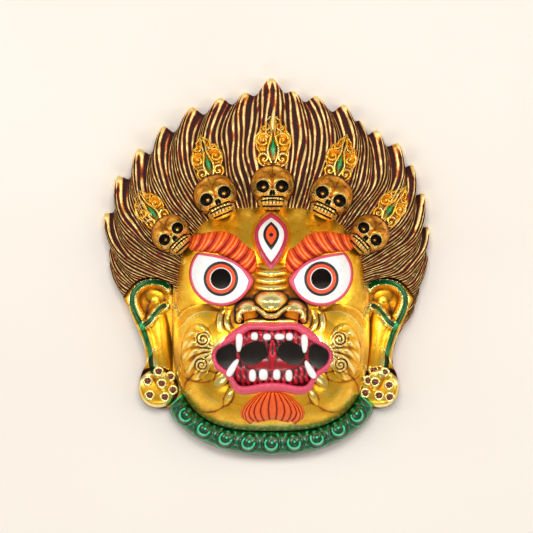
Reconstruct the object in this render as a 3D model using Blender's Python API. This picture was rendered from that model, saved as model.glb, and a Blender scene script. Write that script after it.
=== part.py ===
"""A hollow cast wall mask of a wrathful guardian, lying on its back with the face up.

The casting is one body: a domed face, a flame-edged fan of hair behind it, five skulls with a
scrolled ornament over each, two long ears with studded ear ornaments, and a scalloped collar.
It is open at the back and through the pupils and the mouth.

Everything is in metres. X runs across the mask, Y from the chin to the crown, and Z out of the
face. While it is modelled, X = 0 is the line of the nose, and Z = 0 is the flat back.
"""

import math

import bmesh
import bpy
import numpy as np
from mathutils import Matrix, Vector

# The shell.
WALL = 0.006
PUPIL_RADIUS = 0.0082

# The face, a rounded dome.
FACE_CENTRE_Y = -0.0430
FACE_HALF_WIDTH = 0.0790
FACE_UP = 0.0960
FACE_DOWN = 0.0885
FACE_SQUARENESS = 3.0
FACE_EDGE_HEIGHT = 0.015
FACE_DEPTH = 0.051

# The hair, a fan of strands about a point behind the mouth.
HAIR_CENTRE_Y = -0.0510
HAIR_ROOT_RADIUS = 0.070
HAIRLINE_SHARE = 0.24
HAIR_ROOT_HEIGHT = 0.031
HAIR_TIP_HEIGHT = 0.0085
HAIR_LEAN = 19.0
HAIR_BOW = 12.5
STRAND_DEPTH = 0.0014
# Beside the ears the hair lies lower: the share of its height that it loses, and between which
# angles from the crown.
HAIR_SIDE_DROP = 0.35
HAIR_SIDE = (52.0, 74.0)
HAIR_HOLLOW_SPAN = 64.0
HAIR_HOLLOW = (0.118, 0.168)
HAIR_HOLLOW_SQUARENESS = 2.2
HAIR_RIM = 0.024
HAIR_END = 84.0

# The flames' edge: degrees from the crown, and the reach from the hair's centre as a share of
# the tallest flame's. Tips and notches alternate.
CROWN_REACH = 0.2016
FLAMES = (
    (-75.0, 0.6121), (-67.1, 0.6935), (-63.6, 0.7153), (-61.8, 0.7173),
    (-55.0, 0.8056), (-53.2, 0.7817), (-44.8, 0.8621), (-43.2, 0.8229),
    (-36.1, 0.8914), (-34.5, 0.8467), (-27.8, 0.9152), (-26.1, 0.8745),
    (-19.5, 0.9390), (-17.3, 0.8958), (-12.3, 0.9439), (-9.8, 0.9082),
    (-6.2, 0.9479), (-4.2, 0.9311), (0.1, 1.0000), (3.5, 0.9420),
    (5.3, 0.9524), (8.4, 0.9147), (10.9, 0.9454), (15.6, 0.8998),
    (17.9, 0.9405), (21.9, 0.8938), (23.0, 0.9033), (26.0, 0.8606),
    (27.9, 0.8983), (32.2, 0.8626), (34.2, 0.8968), (39.4, 0.8373),
    (40.4, 0.8626), (47.0, 0.7857), (48.0, 0.8125), (55.6, 0.7242),
    (56.7, 0.7465), (62.6, 0.6905), (64.3, 0.6870), (73.8, 0.6116),
)
# The edge beside and below the flames, along the ears and their ornaments, in metres.
LEFT_EDGE = (
    (-131.0, 0.0960), (-127.8, 0.1003), (-125.1, 0.1085), (-122.3, 0.1145),
    (-118.6, 0.1166), (-114.6, 0.1153), (-110.2, 0.1108), (-105.5, 0.1042),
    (-101.3, 0.1020), (-94.4, 0.1027), (-87.8, 0.1073), (-81.0, 0.1143),
)
RIGHT_EDGE = (
    (81.0, 0.1162), (87.8, 0.1062), (94.4, 0.1012), (101.3, 0.0995),
    (105.5, 0.1016), (110.2, 0.1080), (114.6, 0.1125), (118.6, 0.1135),
    (122.3, 0.1117), (125.1, 0.1055), (127.8, 0.0975), (131.0, 0.0940),
)
COLLAR_START = 131.0

# The skulls and their ornaments, from the crown to each ear: place, turn and size.
SKULLS = (
    (0.0010, 0.0631, 0.0, 0.0178),
    (-0.0440, 0.0555, 23.0, 0.0178),
    (0.0472, 0.0551, -26.0, 0.0178),
    (-0.0792, 0.0255, 42.0, 0.0160),
    (0.0780, 0.0255, -45.0, 0.0160),
)
SKULL_FOOT = 0.0270
SKULL_RISE = 0.0240
SOCKET_DEPTH = 0.0060
# A skull's outline on one side, as shares of its radius.
SKULL_EDGE = (
    (0.0, 1.03), (0.52, 0.88), (0.88, 0.52), (1.0, 0.08), (0.90, -0.34),
    (0.66, -0.62), (0.58, -0.88), (0.38, -1.02), (0.0, -1.06),
)
ORNAMENTS = (
    (0.0016, 0.1015, 0.0, 0.0146, 0.0232),
    (-0.0516, 0.0875, 15.0, 0.0130, 0.0192),
    (0.0562, 0.0875, -14.0, 0.0130, 0.0192),
    (-0.0980, 0.0475, 38.0, 0.0122, 0.0186),
    (0.0976, 0.0495, -35.0, 0.0122, 0.0186),
)
ORNAMENT_RISE = 0.0042
# An ornament's outline, as shares of its half width and half height.
ORNAMENT_EDGE = (
    (0.0, 1.0), (0.42, 0.62), (0.86, 0.24), (1.0, -0.14), (0.86, -0.52),
    (0.72, -0.86), (0.0, -1.0),
)

# Eyes, brows and the third eye.
EYE_X = 0.0398
EYE_Y = -0.0097
EYE_RADIUS = 0.0240
EYE_DROP = 0.0040
EYE_BULGE = 0.0075
LID_Y = 0.0059
LID_SLOPE = 0.105
LID_DIP = 0.0160
LID_REACH = 0.0102
EYE_CORNER_X = 0.0168
IRIS_RADIUS = 0.0136
BROW_RISE = 0.0085
BROW = (
    (0.0110, -0.0040), (0.0165, 0.0050), (0.0232, 0.0106), (0.0296, 0.0156),
    (0.0384, 0.0188), (0.0490, 0.0189), (0.0592, 0.0184), (0.0665, 0.0180),
)
BROW_HALF_WIDTH = (0.0045, 0.0080, 0.0086, 0.0088, 0.0086, 0.0084, 0.0066, 0.0044)
BROW_LOCKS = 9
THIRD_EYE_Y = 0.0250
THIRD_EYE_HALF_WIDTH = 0.0130
THIRD_EYE_UP = 0.0169
THIRD_EYE_DOWN = 0.0263
THIRD_EYE_RISE = 0.0050

# Nose, cheeks and jowls.
NOSE_TOP_Y = 0.0000
NOSE_TIP_Y = -0.0290
NOSE_RISE = 0.0175
NOSTRIL = (
    (0.0000, -0.0352), (0.0075, -0.0350), (0.0140, -0.0310), (0.0205, -0.0308),
    (0.0246, -0.0350), (0.0250, -0.0420),
)
CHEEK_X = 0.0560
CHEEK_Y = -0.0600
CHEEK_RISE = 0.0085
ROSETTE_X = 0.0588
ROSETTE_Y = -0.0680
JOWL_X = 0.0450
JOWL_Y = -0.0960

# Mouth: the lips' middle line on one side, and what is inside it.
LIPS = (
    (0.0000, -0.0483), (0.0145, -0.0474), (0.0218, -0.0491), (0.0281, -0.0534),
    (0.0338, -0.0578), (0.0400, -0.0608), (0.0454, -0.0651), (0.0479, -0.0707),
    (0.0462, -0.0766), (0.0414, -0.0812), (0.0366, -0.0842), (0.0326, -0.0893),
    (0.0300, -0.0941), (0.0264, -0.0970), (0.0202, -0.0980), (0.0110, -0.0964),
    (0.0000, -0.0953),
)
LIP_HALF_WIDTH = 0.0034
LIP_RISE = 0.0065
MUZZLE_RISE = 0.0055
GUM_DROP = 0.0030
GAPS = (
    (0.0149, -0.0686, 0.0110, 0.0086, -28.0),
    (0.0370, -0.0706, 0.0104, 0.0082, -79.0),
)
GAP_SQUARENESS = 2.4
UPPER_TEETH = ((0.0064, -0.0556), (0.0138, -0.0553))
LOWER_TEETH = ((0.0050, -0.0856), (0.0142, -0.0859))
FANGS = (
    (0.0260, -0.0535, 0.0260, -0.0670, 0.0029),
    (0.0265, -0.0735, 0.0330, -0.0862, 0.0031),
)
TOOTH_RISE = 0.0050
TONGUE_RISE = 0.0040
TUFT_Y = -0.1090
TUFT_HALF_WIDTH = 0.0260
TUFT_HALF_HEIGHT = 0.0135
TUFT_RISE = 0.0045
TUFT_LOCKS = 11

# The ears, their grooves and their studded ornaments.
EAR_SHIFT = -0.0018
EAR_EDGE = (
    (0.0950, -0.0090), (0.1040, -0.0110), (0.1110, -0.0170), (0.1155, -0.0250),
    (0.1115, -0.0340), (0.1065, -0.0460), (0.1015, -0.0580), (0.0983, -0.0700),
    (0.0980, -0.0780), (0.1015, -0.0860), (0.1033, -0.0940), (0.1030, -0.1010),
    (0.1000, -0.1075), (0.0950, -0.1115), (0.0870, -0.1130), (0.0780, -0.1120),
    (0.0700, -0.1080), (0.0660, -0.0950), (0.0660, -0.0600), (0.0680, -0.0350),
    (0.0760, -0.0170), (0.0840, -0.0110),
)
EAR_HEIGHT = 0.0150
EAR_GROOVE = (
    (0.0812, -0.0135), (0.0880, -0.0119), (0.0960, -0.0117), (0.1040, -0.0149),
    (0.1084, -0.0209), (0.1098, -0.0277), (0.1076, -0.0365), (0.1040, -0.0429),
    (0.0996, -0.0509), (0.0964, -0.0601), (0.0936, -0.0697), (0.0932, -0.0801),
)
EAR_FOLD = ((0.1004, -0.0469), (0.0940, -0.0421), (0.0900, -0.0353), (0.0840, -0.0309))
GROOVE_HALF_WIDTH = 0.0020
GROOVE_DEPTH = 0.0022
STUD_PLATE = (0.0896, -0.0965)
STUD_PLATE_RADIUS = 0.0158
STUD_PLATE_RISE = 0.0040
STUDS = (
    (0.0896, -0.0837), (0.0984, -0.0913), (0.0872, -0.0933), (0.0968, -0.1025),
    (0.0848, -0.1041), (0.0804, -0.0877), (0.0784, -0.0985),
)
STUD_RADIUS = 0.0041

# The collar under the chin.
COLLAR_SPAN = 50.0
COLLAR_HALF_WIDTH = 0.1016
COLLAR_DOWN = 0.1076
COLLAR_SQUARENESS = 2.4
COLLAR_EDGE_HEIGHT = 0.008
COLLAR_RISE = 0.014
COLLAR_CURLS = 9
SCALLOP = 0.0012
CURL_RADIUS = 0.0065

GOLD = (0.83, 0.56, 0.16, 1.0)
# The relief, a grid around the hair's centre, and the faces kept of it.
COLUMNS = 360
ROWS = 132
FRONT_TRIANGLES = 7400


def stations(at, pairs):
    """A value that eases from each (place, value) pair to the next."""
    places = np.array([p[0] for p in pairs])
    values = np.array([p[1] for p in pairs])
    index = np.clip(np.searchsorted(places, at) - 1, 0, len(places) - 2)
    share = np.clip((at - places[index]) / (places[index + 1] - places[index]), 0.0, 1.0)
    return values[index] + (values[index + 1] - values[index]) * share**2 * (3 - 2 * share)


def smooth_line(controls, per_span=6, closed=False):
    """Points on the Catmull-Rom curve through the controls, and the share of the way along."""
    points = [np.array(p, float) for p in controls]
    ends = (points[-1:], points[:2]) if closed else (points[:1], points[-1:])
    padded = ends[0] + points + ends[1]
    line = []
    for a, b, c, d in zip(padded, padded[1:], padded[2:], padded[3:]):
        for t in np.arange(per_span) / per_span:
            line.append(
                0.5 * (2 * b + (c - a) * t + (2 * a - 5 * b + 4 * c - d) * t**2
                       + (3 * b - 3 * c + d - a) * t**3)
            )
    if not closed:
        line.append(points[-1])
    return np.array(line)


def distance_along(x, y, line):
    """The distance from each place to a line, and where on it the nearest point is, 0 to 1."""
    nearest = np.full(np.shape(x), 1e9)
    along = np.zeros(np.shape(x))
    last = len(line) - 1
    for i, (a, b) in enumerate(zip(line, line[1:])):
        run = b - a
        share = ((x - a[0]) * run[0] + (y - a[1]) * run[1]) / max(float(run @ run), 1e-16)
        share = np.clip(share, 0.0, 1.0)
        gap = np.hypot(x - a[0] - share * run[0], y - a[1] - share * run[1])
        along = np.where(gap < nearest, (i + share) / last, along)
        nearest = np.minimum(nearest, gap)
    return nearest, along


def inside(x, y, loop):
    """Whether each place lies inside a closed loop."""
    found = np.zeros(np.shape(x), bool)
    for a, b in zip(loop, np.roll(loop, -1, axis=0)):
        crosses = (a[1] > y) != (b[1] > y)
        rise = b[1] - a[1] if abs(b[1] - a[1]) > 1e-12 else 1e-12
        found ^= crosses & (x < a[0] + (y - a[1]) * (b[0] - a[0]) / rise)
    return found


def bump(x, y, centre, radii, turn=0.0, fullness=2.0):
    """A round swelling, 1 at its centre and 0 outside the radii. A low fullness gives a flat top."""
    c, s = math.cos(math.radians(turn)), math.sin(math.radians(turn))
    across = ((x - centre[0]) * c + (y - centre[1]) * s) / radii[0]
    up = ((y - centre[1]) * c - (x - centre[0]) * s) / radii[1]
    return np.clip(1 - across**2 - up**2, 0.0, 1.0) ** fullness


def ridge(distance, half_width, fullness=0.6):
    """The section of a rounded ridge, 1 on its line and 0 at its half width."""
    return np.clip(1 - (distance / half_width) ** 2, 0.0, 1.0) ** fullness


def face_share(x, y):
    """0 at the middle of the face and 1 at its edge."""
    reach = np.where(y > FACE_CENTRE_Y, FACE_UP, FACE_DOWN)
    n = FACE_SQUARENESS
    across = np.abs(x) / FACE_HALF_WIDTH
    up = np.abs(y - FACE_CENTRE_Y) / reach
    return (across**n + up**n) ** (1 / n)


def dome_height(share):
    return FACE_EDGE_HEIGHT + FACE_DEPTH * np.clip(1 - share**2.2, 0.0, 1.0) ** 0.55


def eye_and_brow(x, y):
    """What the eyes, the brows and the third eye add to the dome, on both sides alike."""
    side = np.abs(x)
    rise = -0.0035 * bump(side, y, (EYE_X, EYE_Y), (0.031, 0.031))
    past_corner = side - EYE_CORNER_X
    lid = LID_Y + LID_SLOPE * past_corner - LID_DIP * np.exp(-past_corner / LID_REACH)
    disc = np.hypot(side - EYE_X, y - EYE_Y - EYE_DROP) - EYE_RADIUS
    outside = np.maximum(disc, y - lid)
    ball = EYE_BULGE * bump(side, y, (EYE_X, EYE_Y), (0.031, 0.031), fullness=1.0)
    rise = rise + np.where(outside < 0, ball + 0.0015, 0.0)
    rise = rise + 0.0028 * ridge(outside - 0.0013, 0.0020)
    line = smooth_line(BROW)
    distance, along = distance_along(side, y, line)
    width = np.interp(along, np.linspace(0, 1, len(BROW_HALF_WIDTH)), BROW_HALF_WIDTH)
    locks = np.abs(np.sin(math.pi * (along * BROW_LOCKS + (y - EYE_Y) * 30)))
    brow = ridge(distance, width, 0.5) * (BROW_RISE - 0.0020 + 0.0020 * locks)
    return np.where(distance < width, brow, rise) + third_eye(x, y)


def third_eye(x, y):
    up = y - THIRD_EYE_Y
    share = np.where(up > 0, up / THIRD_EYE_UP, -up / THIRD_EYE_DOWN)
    power = np.where(up > 0, 2.2, 1.7)
    half = THIRD_EYE_HALF_WIDTH * np.clip(1 - np.clip(share, 0, 1) ** power, 0.0, 1.0)
    inset = half - np.abs(x)
    body = np.clip(inset / 0.0030, 0.0, 1.0)
    body = body * body * (3 - 2 * body)
    return np.where(share < 1, THIRD_EYE_RISE * body, 0.0)


def nose(x, y):
    """The bridge with its wrinkles, the tip and the two flared wings."""
    side = np.abs(x)
    down = np.clip((NOSE_TOP_Y - y) / (NOSE_TOP_Y - NOSE_TIP_Y), 0.0, 1.0)
    half = 0.0085 + 0.0065 * down
    bridge = np.where((y < NOSE_TOP_Y + 0.004) & (y > NOSE_TIP_Y), ridge(x, half, 1.2), 0.0)
    wrinkles = 0.0009 * np.sin(2 * math.pi * (y - NOSE_TOP_Y) / 0.0062)
    rise = bridge * (0.0045 + (NOSE_RISE - 0.0065) * down + wrinkles * (down < 0.85))
    tip = NOSE_RISE * bump(x, y, (0.0, NOSE_TIP_Y), (0.0155, 0.0125), fullness=0.9)
    wing = 0.0110 * bump(side, y, (0.0170, -0.0360), (0.0115, 0.0095), fullness=0.9)
    rise = np.maximum(rise, np.maximum(tip, wing))
    distance, along = distance_along(side, y, smooth_line(NOSTRIL))
    rim = (0.0145 - 0.0065 * along) * ridge(distance, 0.0034, 0.6)
    hollow = 0.0050 * bump(side, y, (0.0150, -0.0400), (0.0085, 0.0045), fullness=0.8)
    return np.maximum(rise - hollow, rim)


def cheeks(x, y):
    side = np.abs(x)
    rise = CHEEK_RISE * bump(side, y, (CHEEK_X, CHEEK_Y), (0.0245, 0.0290), fullness=1.1)
    rosette = bump(side, y, (ROSETTE_X, ROSETTE_Y), (0.0126, 0.0205), fullness=0.5)
    fan = np.sin(1500 * (y - ROSETTE_Y) + 260 * (side - ROSETTE_X))
    rise = rise + rosette * (0.0014 + 0.0010 * fan)
    jowl = 0.0050 * bump(side, y, (JOWL_X, JOWL_Y), (0.0115, 0.0075), turn=-52, fullness=1.0)
    jaw = 0.0040 * bump(side, y, (0.0530, -0.1010), (0.0170, 0.0150), fullness=1.2)
    return rise + np.maximum(jowl, jaw)


def lip_loop():
    right = smooth_line(LIPS, per_span=4)
    left = right[-2:0:-1] * np.array([-1.0, 1.0])
    return np.vstack([right, left])


def mouth(x, y):
    """The muzzle, the lips and, inside them, the gums, teeth and tongue."""
    side = np.abs(x)
    rise = MUZZLE_RISE * bump(x, y, (0.0, -0.0715), (0.0620, 0.0420), fullness=1.0)
    loop = lip_loop()
    distance, _ = distance_along(x, y, np.vstack([loop, loop[:1]]))
    within = inside(x, y, loop)
    lips = LIP_RISE * ridge(distance, LIP_HALF_WIDTH, 0.5)
    teeth = np.zeros(np.shape(x))
    for place in UPPER_TEETH + LOWER_TEETH:
        teeth = np.maximum(teeth, bump(side, y, place, (0.0036, 0.0046), fullness=0.5))
    for top_x, top_y, end_x, end_y, half in FANGS:
        fang, _ = distance_along(side, y, np.array([(top_x, top_y), (end_x, end_y)]))
        teeth = np.maximum(teeth, 1.5 * ridge(fang, half, 0.6))
    tongue = bump(x, y, (0.0, -0.0790), (0.0230, 0.0110), fullness=0.7)
    septum = ridge(x, 0.0035, 0.6) * (np.abs(y + 0.0680) < 0.0100)
    gums = np.maximum(TOOTH_RISE * teeth, TONGUE_RISE * np.maximum(tongue, septum)) - GUM_DROP
    inner = np.where(distance > LIP_HALF_WIDTH, gums, np.maximum(lips, gums))
    return rise + np.where(within, inner, lips)


def tuft(x, y):
    """The fan of short beard under the lip."""
    turn = np.arctan2(x, y - TUFT_Y + 0.030)
    locks = np.abs(np.cos(turn * TUFT_LOCKS * 1.6))
    body = bump(x, y, (0.0, TUFT_Y - 0.0015), (TUFT_HALF_WIDTH, TUFT_HALF_HEIGHT), fullness=0.45)
    return body * (TUFT_RISE - 0.0014 + 0.0014 * locks)


def face_height(x, y):
    rise = eye_and_brow(x, y) + nose(x, y) + cheeks(x, y) + mouth(x, y) + tuft(x, y)
    return dome_height(face_share(x, y)) + rise


def ear_height(x, y):
    """The two ears. Each is modelled with x counted outwards from the line of the nose."""
    x = np.abs(x - EAR_SHIFT)
    z = EAR_HEIGHT + 0.0060 * bump(x, y, (0.0840, -0.0600), (0.0120, 0.0420), fullness=1.0)
    z = z - 0.0060 * bump(x, y, (0.0900, -0.0290), (0.0140, 0.0160), fullness=0.8)
    rim = smooth_line(EAR_EDGE[0:9])
    distance, _ = distance_along(x, y, rim)
    z = z + 0.0050 * ridge(distance - 0.0015, 0.0060, 0.8)
    for line in (EAR_GROOVE, EAR_FOLD):
        distance, _ = distance_along(x, y, smooth_line(line))
        z = z - GROOVE_DEPTH * ridge(distance, GROOVE_HALF_WIDTH, 0.5)
    plate = bump(x, y, STUD_PLATE, (STUD_PLATE_RADIUS, STUD_PLATE_RADIUS), fullness=0.35)
    z = z + STUD_PLATE_RISE * plate
    for place in STUDS:
        reach = np.hypot(x - place[0], y - place[1])
        z = z + 0.0014 * ridge(reach - STUD_RADIUS * 0.8, 0.0016)
        z = z + 0.0022 * ridge(reach, STUD_RADIUS * 0.55)
    loop = smooth_line(EAR_EDGE, closed=True)
    return np.where(inside(x, y, loop), z, 0.0)


def collar_height(x, y):
    """A rolled band below the face, with a row of curls on it."""
    direction = np.arctan2(x, FACE_CENTRE_Y - y)
    radius = np.hypot(x, y - FACE_CENTRE_Y)
    inner = radius / np.maximum(face_share(x, y), 1e-6)
    outer = collar_reach(x, y)
    across = (radius - inner) / (outer - inner)
    z = COLLAR_EDGE_HEIGHT + COLLAR_RISE * np.clip(1 - (2 * across - 0.9) ** 2 / 1.21, 0, 1) ** 0.5
    middle = outer - 0.0095
    for k in range(COLLAR_CURLS):
        at = math.radians(COLLAR_SPAN * 0.88 * (2 * k / (COLLAR_CURLS - 1) - 1))
        gap = np.hypot((direction - at) * middle, radius - middle)
        z = z + 0.0016 * ridge(gap - CURL_RADIUS, 0.0022) + 0.0012 * ridge(gap, CURL_RADIUS * 0.5)
    return np.where((np.abs(np.degrees(direction)) < COLLAR_SPAN) & (across > -0.1), z, 0.0)


def superellipse(direction, half_width, up, down, squareness):
    """The reach of a rounded frame from its centre, with the direction from straight up."""
    tall = np.where(np.cos(direction) > 0, up, down)
    across = (np.abs(np.sin(direction)) / half_width) ** squareness
    return (across + (np.abs(np.cos(direction)) / tall) ** squareness) ** (-1 / squareness)


def collar_reach(x, y):
    """The collar's outer edge, seen from the middle of the face."""
    direction = np.arctan2(x, y - FACE_CENTRE_Y)
    return superellipse(
        direction, COLLAR_HALF_WIDTH, COLLAR_DOWN, COLLAR_DOWN, COLLAR_SQUARENESS
    )


def edge_reach(angle):
    """The mask's edge, seen from the hair's centre, angle in degrees from the crown."""
    flames = tuple((at, share * CROWN_REACH) for at, share in FLAMES)
    upper = stations(angle, LEFT_EDGE + flames + RIGHT_EDGE)
    turn = np.radians(angle)
    reach = np.full(np.shape(angle), COLLAR_HALF_WIDTH)
    for _ in range(12):
        x, y = reach * np.sin(turn), HAIR_CENTRE_Y + reach * np.cos(turn)
        reach = reach * collar_reach(x, y) / np.hypot(x, y - FACE_CENTRE_Y)
    scallop = SCALLOP * np.abs(np.sin(np.radians(180 - np.abs(angle)) * COLLAR_CURLS * 1.8))
    end = np.clip((np.abs(angle) - COLLAR_START) / 4.0, 0.0, 1.0)
    start = LEFT_EDGE[0][1]
    lower = start + (reach - scallop - start) * end**0.5
    return np.where(np.abs(angle) > COLLAR_START, lower, upper)


def hair_base(share, angle):
    """The height of the hair's smooth ground, from its roots to the flames' tips."""
    fall = np.clip((share - HAIRLINE_SHARE) / (1 - HAIRLINE_SHARE), 0.0, 1.0) ** 1.25
    beside = np.clip((np.abs(angle) - HAIR_SIDE[0]) / (HAIR_SIDE[1] - HAIR_SIDE[0]), 0.0, 1.0)
    kept = 1 - HAIR_SIDE_DROP * beside**2 * (3 - 2 * beside)
    return HAIR_TIP_HEIGHT + (HAIR_ROOT_HEIGHT - HAIR_TIP_HEIGHT) * (1 - fall) * kept


def hair_share(reach, edge):
    return (reach - HAIR_ROOT_RADIUS) / (edge - HAIR_ROOT_RADIUS)


def swept(edge_angle, share):
    """The angle along a strand: it leaves its root outwards, and bows up towards the crown."""
    left = 1 - np.clip(share, 0.0, 1.0)
    fade = np.clip((104.0 - np.abs(edge_angle)) / 28.0, 0.0, 1.0) * np.tanh(edge_angle / 12.0)
    return edge_angle + fade * (HAIR_LEAN * left - HAIR_BOW * left**2)


def new_grid(name, columns, rows):
    """A flat grid primitive, two units across, with its vertices as arrays of shares 0 to 1."""
    bpy.ops.mesh.primitive_grid_add(x_subdivisions=columns, y_subdivisions=rows, size=2.0)
    grid = bpy.context.object
    grid.name = name
    flat = np.empty(len(grid.data.vertices) * 3)
    grid.data.vertices.foreach_get("co", flat)
    flat = flat.reshape(-1, 3)
    return grid, (flat[:, 0] + 1) / 2, (flat[:, 1] + 1) / 2


def set_points(obj, x, y, z):
    obj.data.vertices.foreach_set("co", np.stack([x, y, z], axis=1).ravel())
    obj.data.update()


def close_down(obj, floor=0.0):
    """Drops the open edge of a relief to the floor and closes it there."""
    mesh = bmesh.new()
    mesh.from_mesh(obj.data)
    edge = [e for e in mesh.edges if e.is_boundary]
    dropped = bmesh.ops.extrude_edge_only(mesh, edges=edge)["geom"]
    for vertex in [v for v in dropped if isinstance(v, bmesh.types.BMVert)]:
        vertex.co.z = floor
    bmesh.ops.contextual_create(mesh, geom=[e for e in mesh.edges if e.is_boundary])
    bmesh.ops.recalc_face_normals(mesh, faces=mesh.faces[:])
    mesh.to_mesh(obj.data)
    mesh.free()
    return obj


def apply_modifiers(obj):
    bpy.ops.object.select_all(action="DESELECT")
    obj.select_set(True)
    bpy.context.view_layer.objects.active = obj
    for modifier in list(obj.modifiers):
        bpy.ops.object.modifier_apply(modifier=modifier.name)


def thin_out(obj, keep):
    """Spends a relief's faces where it bends."""
    reduce = obj.modifiers.new("fewer_faces", "DECIMATE")
    reduce.ratio = keep
    apply_modifiers(obj)


def combine(target, tool, operation):
    join = target.modifiers.new(operation.lower(), "BOOLEAN")
    join.operation = operation
    join.object = tool
    join.solver = "EXACT"
    apply_modifiers(target)
    bpy.data.objects.remove(tool)


def symmetric_loop(edge, half_width, half_height):
    right = smooth_line(np.array(edge) * np.array([half_width, half_height]), per_span=4)
    return np.vstack([right, right[-2:0:-1] * np.array([-1.0, 1.0])])


def turned(x, y, centre_x, centre_y, turn):
    """Places as seen from something turned about its own centre."""
    c, s = math.cos(math.radians(turn)), math.sin(math.radians(turn))
    return (x - centre_x) * c + (y - centre_y) * s, (y - centre_y) * c - (x - centre_x) * s


def skull_height(x, y, centre_x, centre_y, turn, radius):
    """A skull in high relief: brow, two eye sockets, nose, cheekbones and a grin of teeth."""
    a, b = turned(x, y, centre_x, centre_y, turn)
    side, up = np.abs(a) / radius, b / radius
    z = SKULL_FOOT + SKULL_RISE * bump(side, up, (0, 0.10), (1.04, 1.04), fullness=0.45)
    jaw = 0.86 * SKULL_RISE * bump(side, up, (0, -0.55), (0.72, 0.56), fullness=0.35)
    z = np.maximum(z, SKULL_FOOT + jaw)
    z = z - SOCKET_DEPTH * bump(side, up, (0.40, 0.05), (0.30, 0.28), turn=-15, fullness=0.7)
    z = z - 0.5 * SOCKET_DEPTH * bump(side, up, (0.0, -0.26), (0.12, 0.17), fullness=0.6)
    z = z - 0.4 * SOCKET_DEPTH * ridge(up + 0.62, 0.08) * (side < 0.46)
    return np.where(inside(a, b, symmetric_loop(SKULL_EDGE, radius, radius)), z, 0.0)


def scroll(x, y, centre, radius):
    """A scroll seen from above: a ring with a bead in it."""
    gap = np.hypot(x - centre[0], y - centre[1])
    return np.maximum(ridge(gap - radius * 0.8, radius * 0.32), ridge(gap, radius * 0.34))


def ornament_height(x, y, hair, centre_x, centre_y, turn, half_width, half_height):
    """A flame-shaped leaf of paired scrolls around a long lozenge, raised on the hair."""
    a, b = turned(x, y, centre_x, centre_y, turn)
    side = np.abs(a)
    z = hair + ORNAMENT_RISE - 0.0012
    z = z + 0.0014 * bump(a, b, (0, 0), (half_width * 1.3, half_height * 1.2), fullness=1.0)
    for across, up, size in ((0.52, -0.62, 0.34), (0.50, 0.02, 0.40), (0.30, 0.50, 0.26)):
        place = (across * half_width, up * half_height)
        z = z + 0.0020 * scroll(side, b, place, size * half_width)
    lozenge = side / half_width + np.abs(b + 0.30 * half_height) / half_height
    z = z + 0.0025 * ridge(lozenge, 0.24, 1.0)
    loop = symmetric_loop(ORNAMENT_EDGE, half_width, half_height)
    return np.where(inside(a, b, loop), z, 0.0)


def front():
    """The whole front as one relief on a grid that runs around the hair's centre."""
    grid, u, v = new_grid("mask", COLUMNS, ROWS)
    angle = 360.0 * u - 180.0
    edge = edge_reach(angle)
    reach = edge * v
    share = hair_share(reach, edge)
    turn = np.radians(swept(angle, share))
    x, y = reach * np.sin(turn), HAIR_CENTRE_Y + reach * np.cos(turn)
    base = hair_base(share, angle)
    crest = np.where(np.round(u * COLUMNS) % 2 == 0, 1.0, -1.0) * (share > 0.0)
    crest = crest * (np.abs(angle) < HAIR_END) * np.where(share > 0.97, 0.5, 1.0)
    z = np.where(np.abs(angle) < HAIR_END + 4, base + STRAND_DEPTH * crest, HAIR_TIP_HEIGHT)
    ears = ear_height(x, y)
    z = np.where(ears > 0, ears, z)
    z = np.maximum(z, collar_height(x, y))
    for row in ORNAMENTS:
        z = np.maximum(z, ornament_height(x, y, base, *row))
    for row in SKULLS:
        z = np.maximum(z, skull_height(x, y, *row))
    z = np.where(face_share(x, y) < 1, np.maximum(face_height(x, y), z * (share > 0)), z)
    z = z - 0.0025 * np.clip(v, 0, 1) ** 60
    set_points(grid, x, y, z)
    mesh = bmesh.new()
    mesh.from_mesh(grid.data)
    bmesh.ops.remove_doubles(mesh, verts=mesh.verts[:], dist=1e-5)
    mesh.to_mesh(grid.data)
    mesh.free()
    thin_out(grid, FRONT_TRIANGLES / (2 * COLUMNS * ROWS))
    return close_down(grid)


def face_hollow():
    """The space behind the face, one wall inside the dome."""
    grid, u, v = new_grid("hollow", 16, 18)
    a, b = 2 * u - 1, 2 * v - 1
    across, up = a * np.sqrt(1 - b * b / 2), b * np.sqrt(1 - a * a / 2)
    share = np.hypot(across, up)
    direction = np.arctan2(across, up)
    inset = 1 - WALL / FACE_HALF_WIDTH
    reach = superellipse(direction, FACE_HALF_WIDTH, FACE_UP, FACE_DOWN, FACE_SQUARENESS)
    radius = share * inset * reach
    x, y = radius * np.sin(direction), FACE_CENTRE_Y + radius * np.cos(direction)
    set_points(grid, x, y, dome_height(share) - WALL)
    hollow = close_down(grid)
    lower(hollow)
    return hollow


def lower(obj):
    """Moves a cutter's flat underside below the back, so that it cuts right through."""
    for vertex in obj.data.vertices:
        if vertex.co.z < 1e-6:
            vertex.co.z = -2 * WALL


def hair_hollow():
    """The space behind the hair, one wall under its strands, ending in a broad flat rim."""
    grid, u, v = new_grid("hair_hollow", 24, 5)
    angle = np.radians(HAIR_HOLLOW_SPAN * (2 * u - 1))
    half, up = HAIR_HOLLOW
    outer = superellipse(angle, half, up, up, HAIR_HOLLOW_SQUARENESS)
    inner = HAIR_ROOT_RADIUS * 0.85
    radius = inner + (outer - inner) * v
    share = hair_share(radius, outer + HAIR_RIM)
    z = hair_base(share, np.degrees(angle)) - WALL - 1.5 * STRAND_DEPTH
    set_points(grid, radius * np.sin(angle), HAIR_CENTRE_Y + radius * np.cos(angle), z)
    hollow = close_down(grid)
    lower(hollow)
    return hollow


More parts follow.
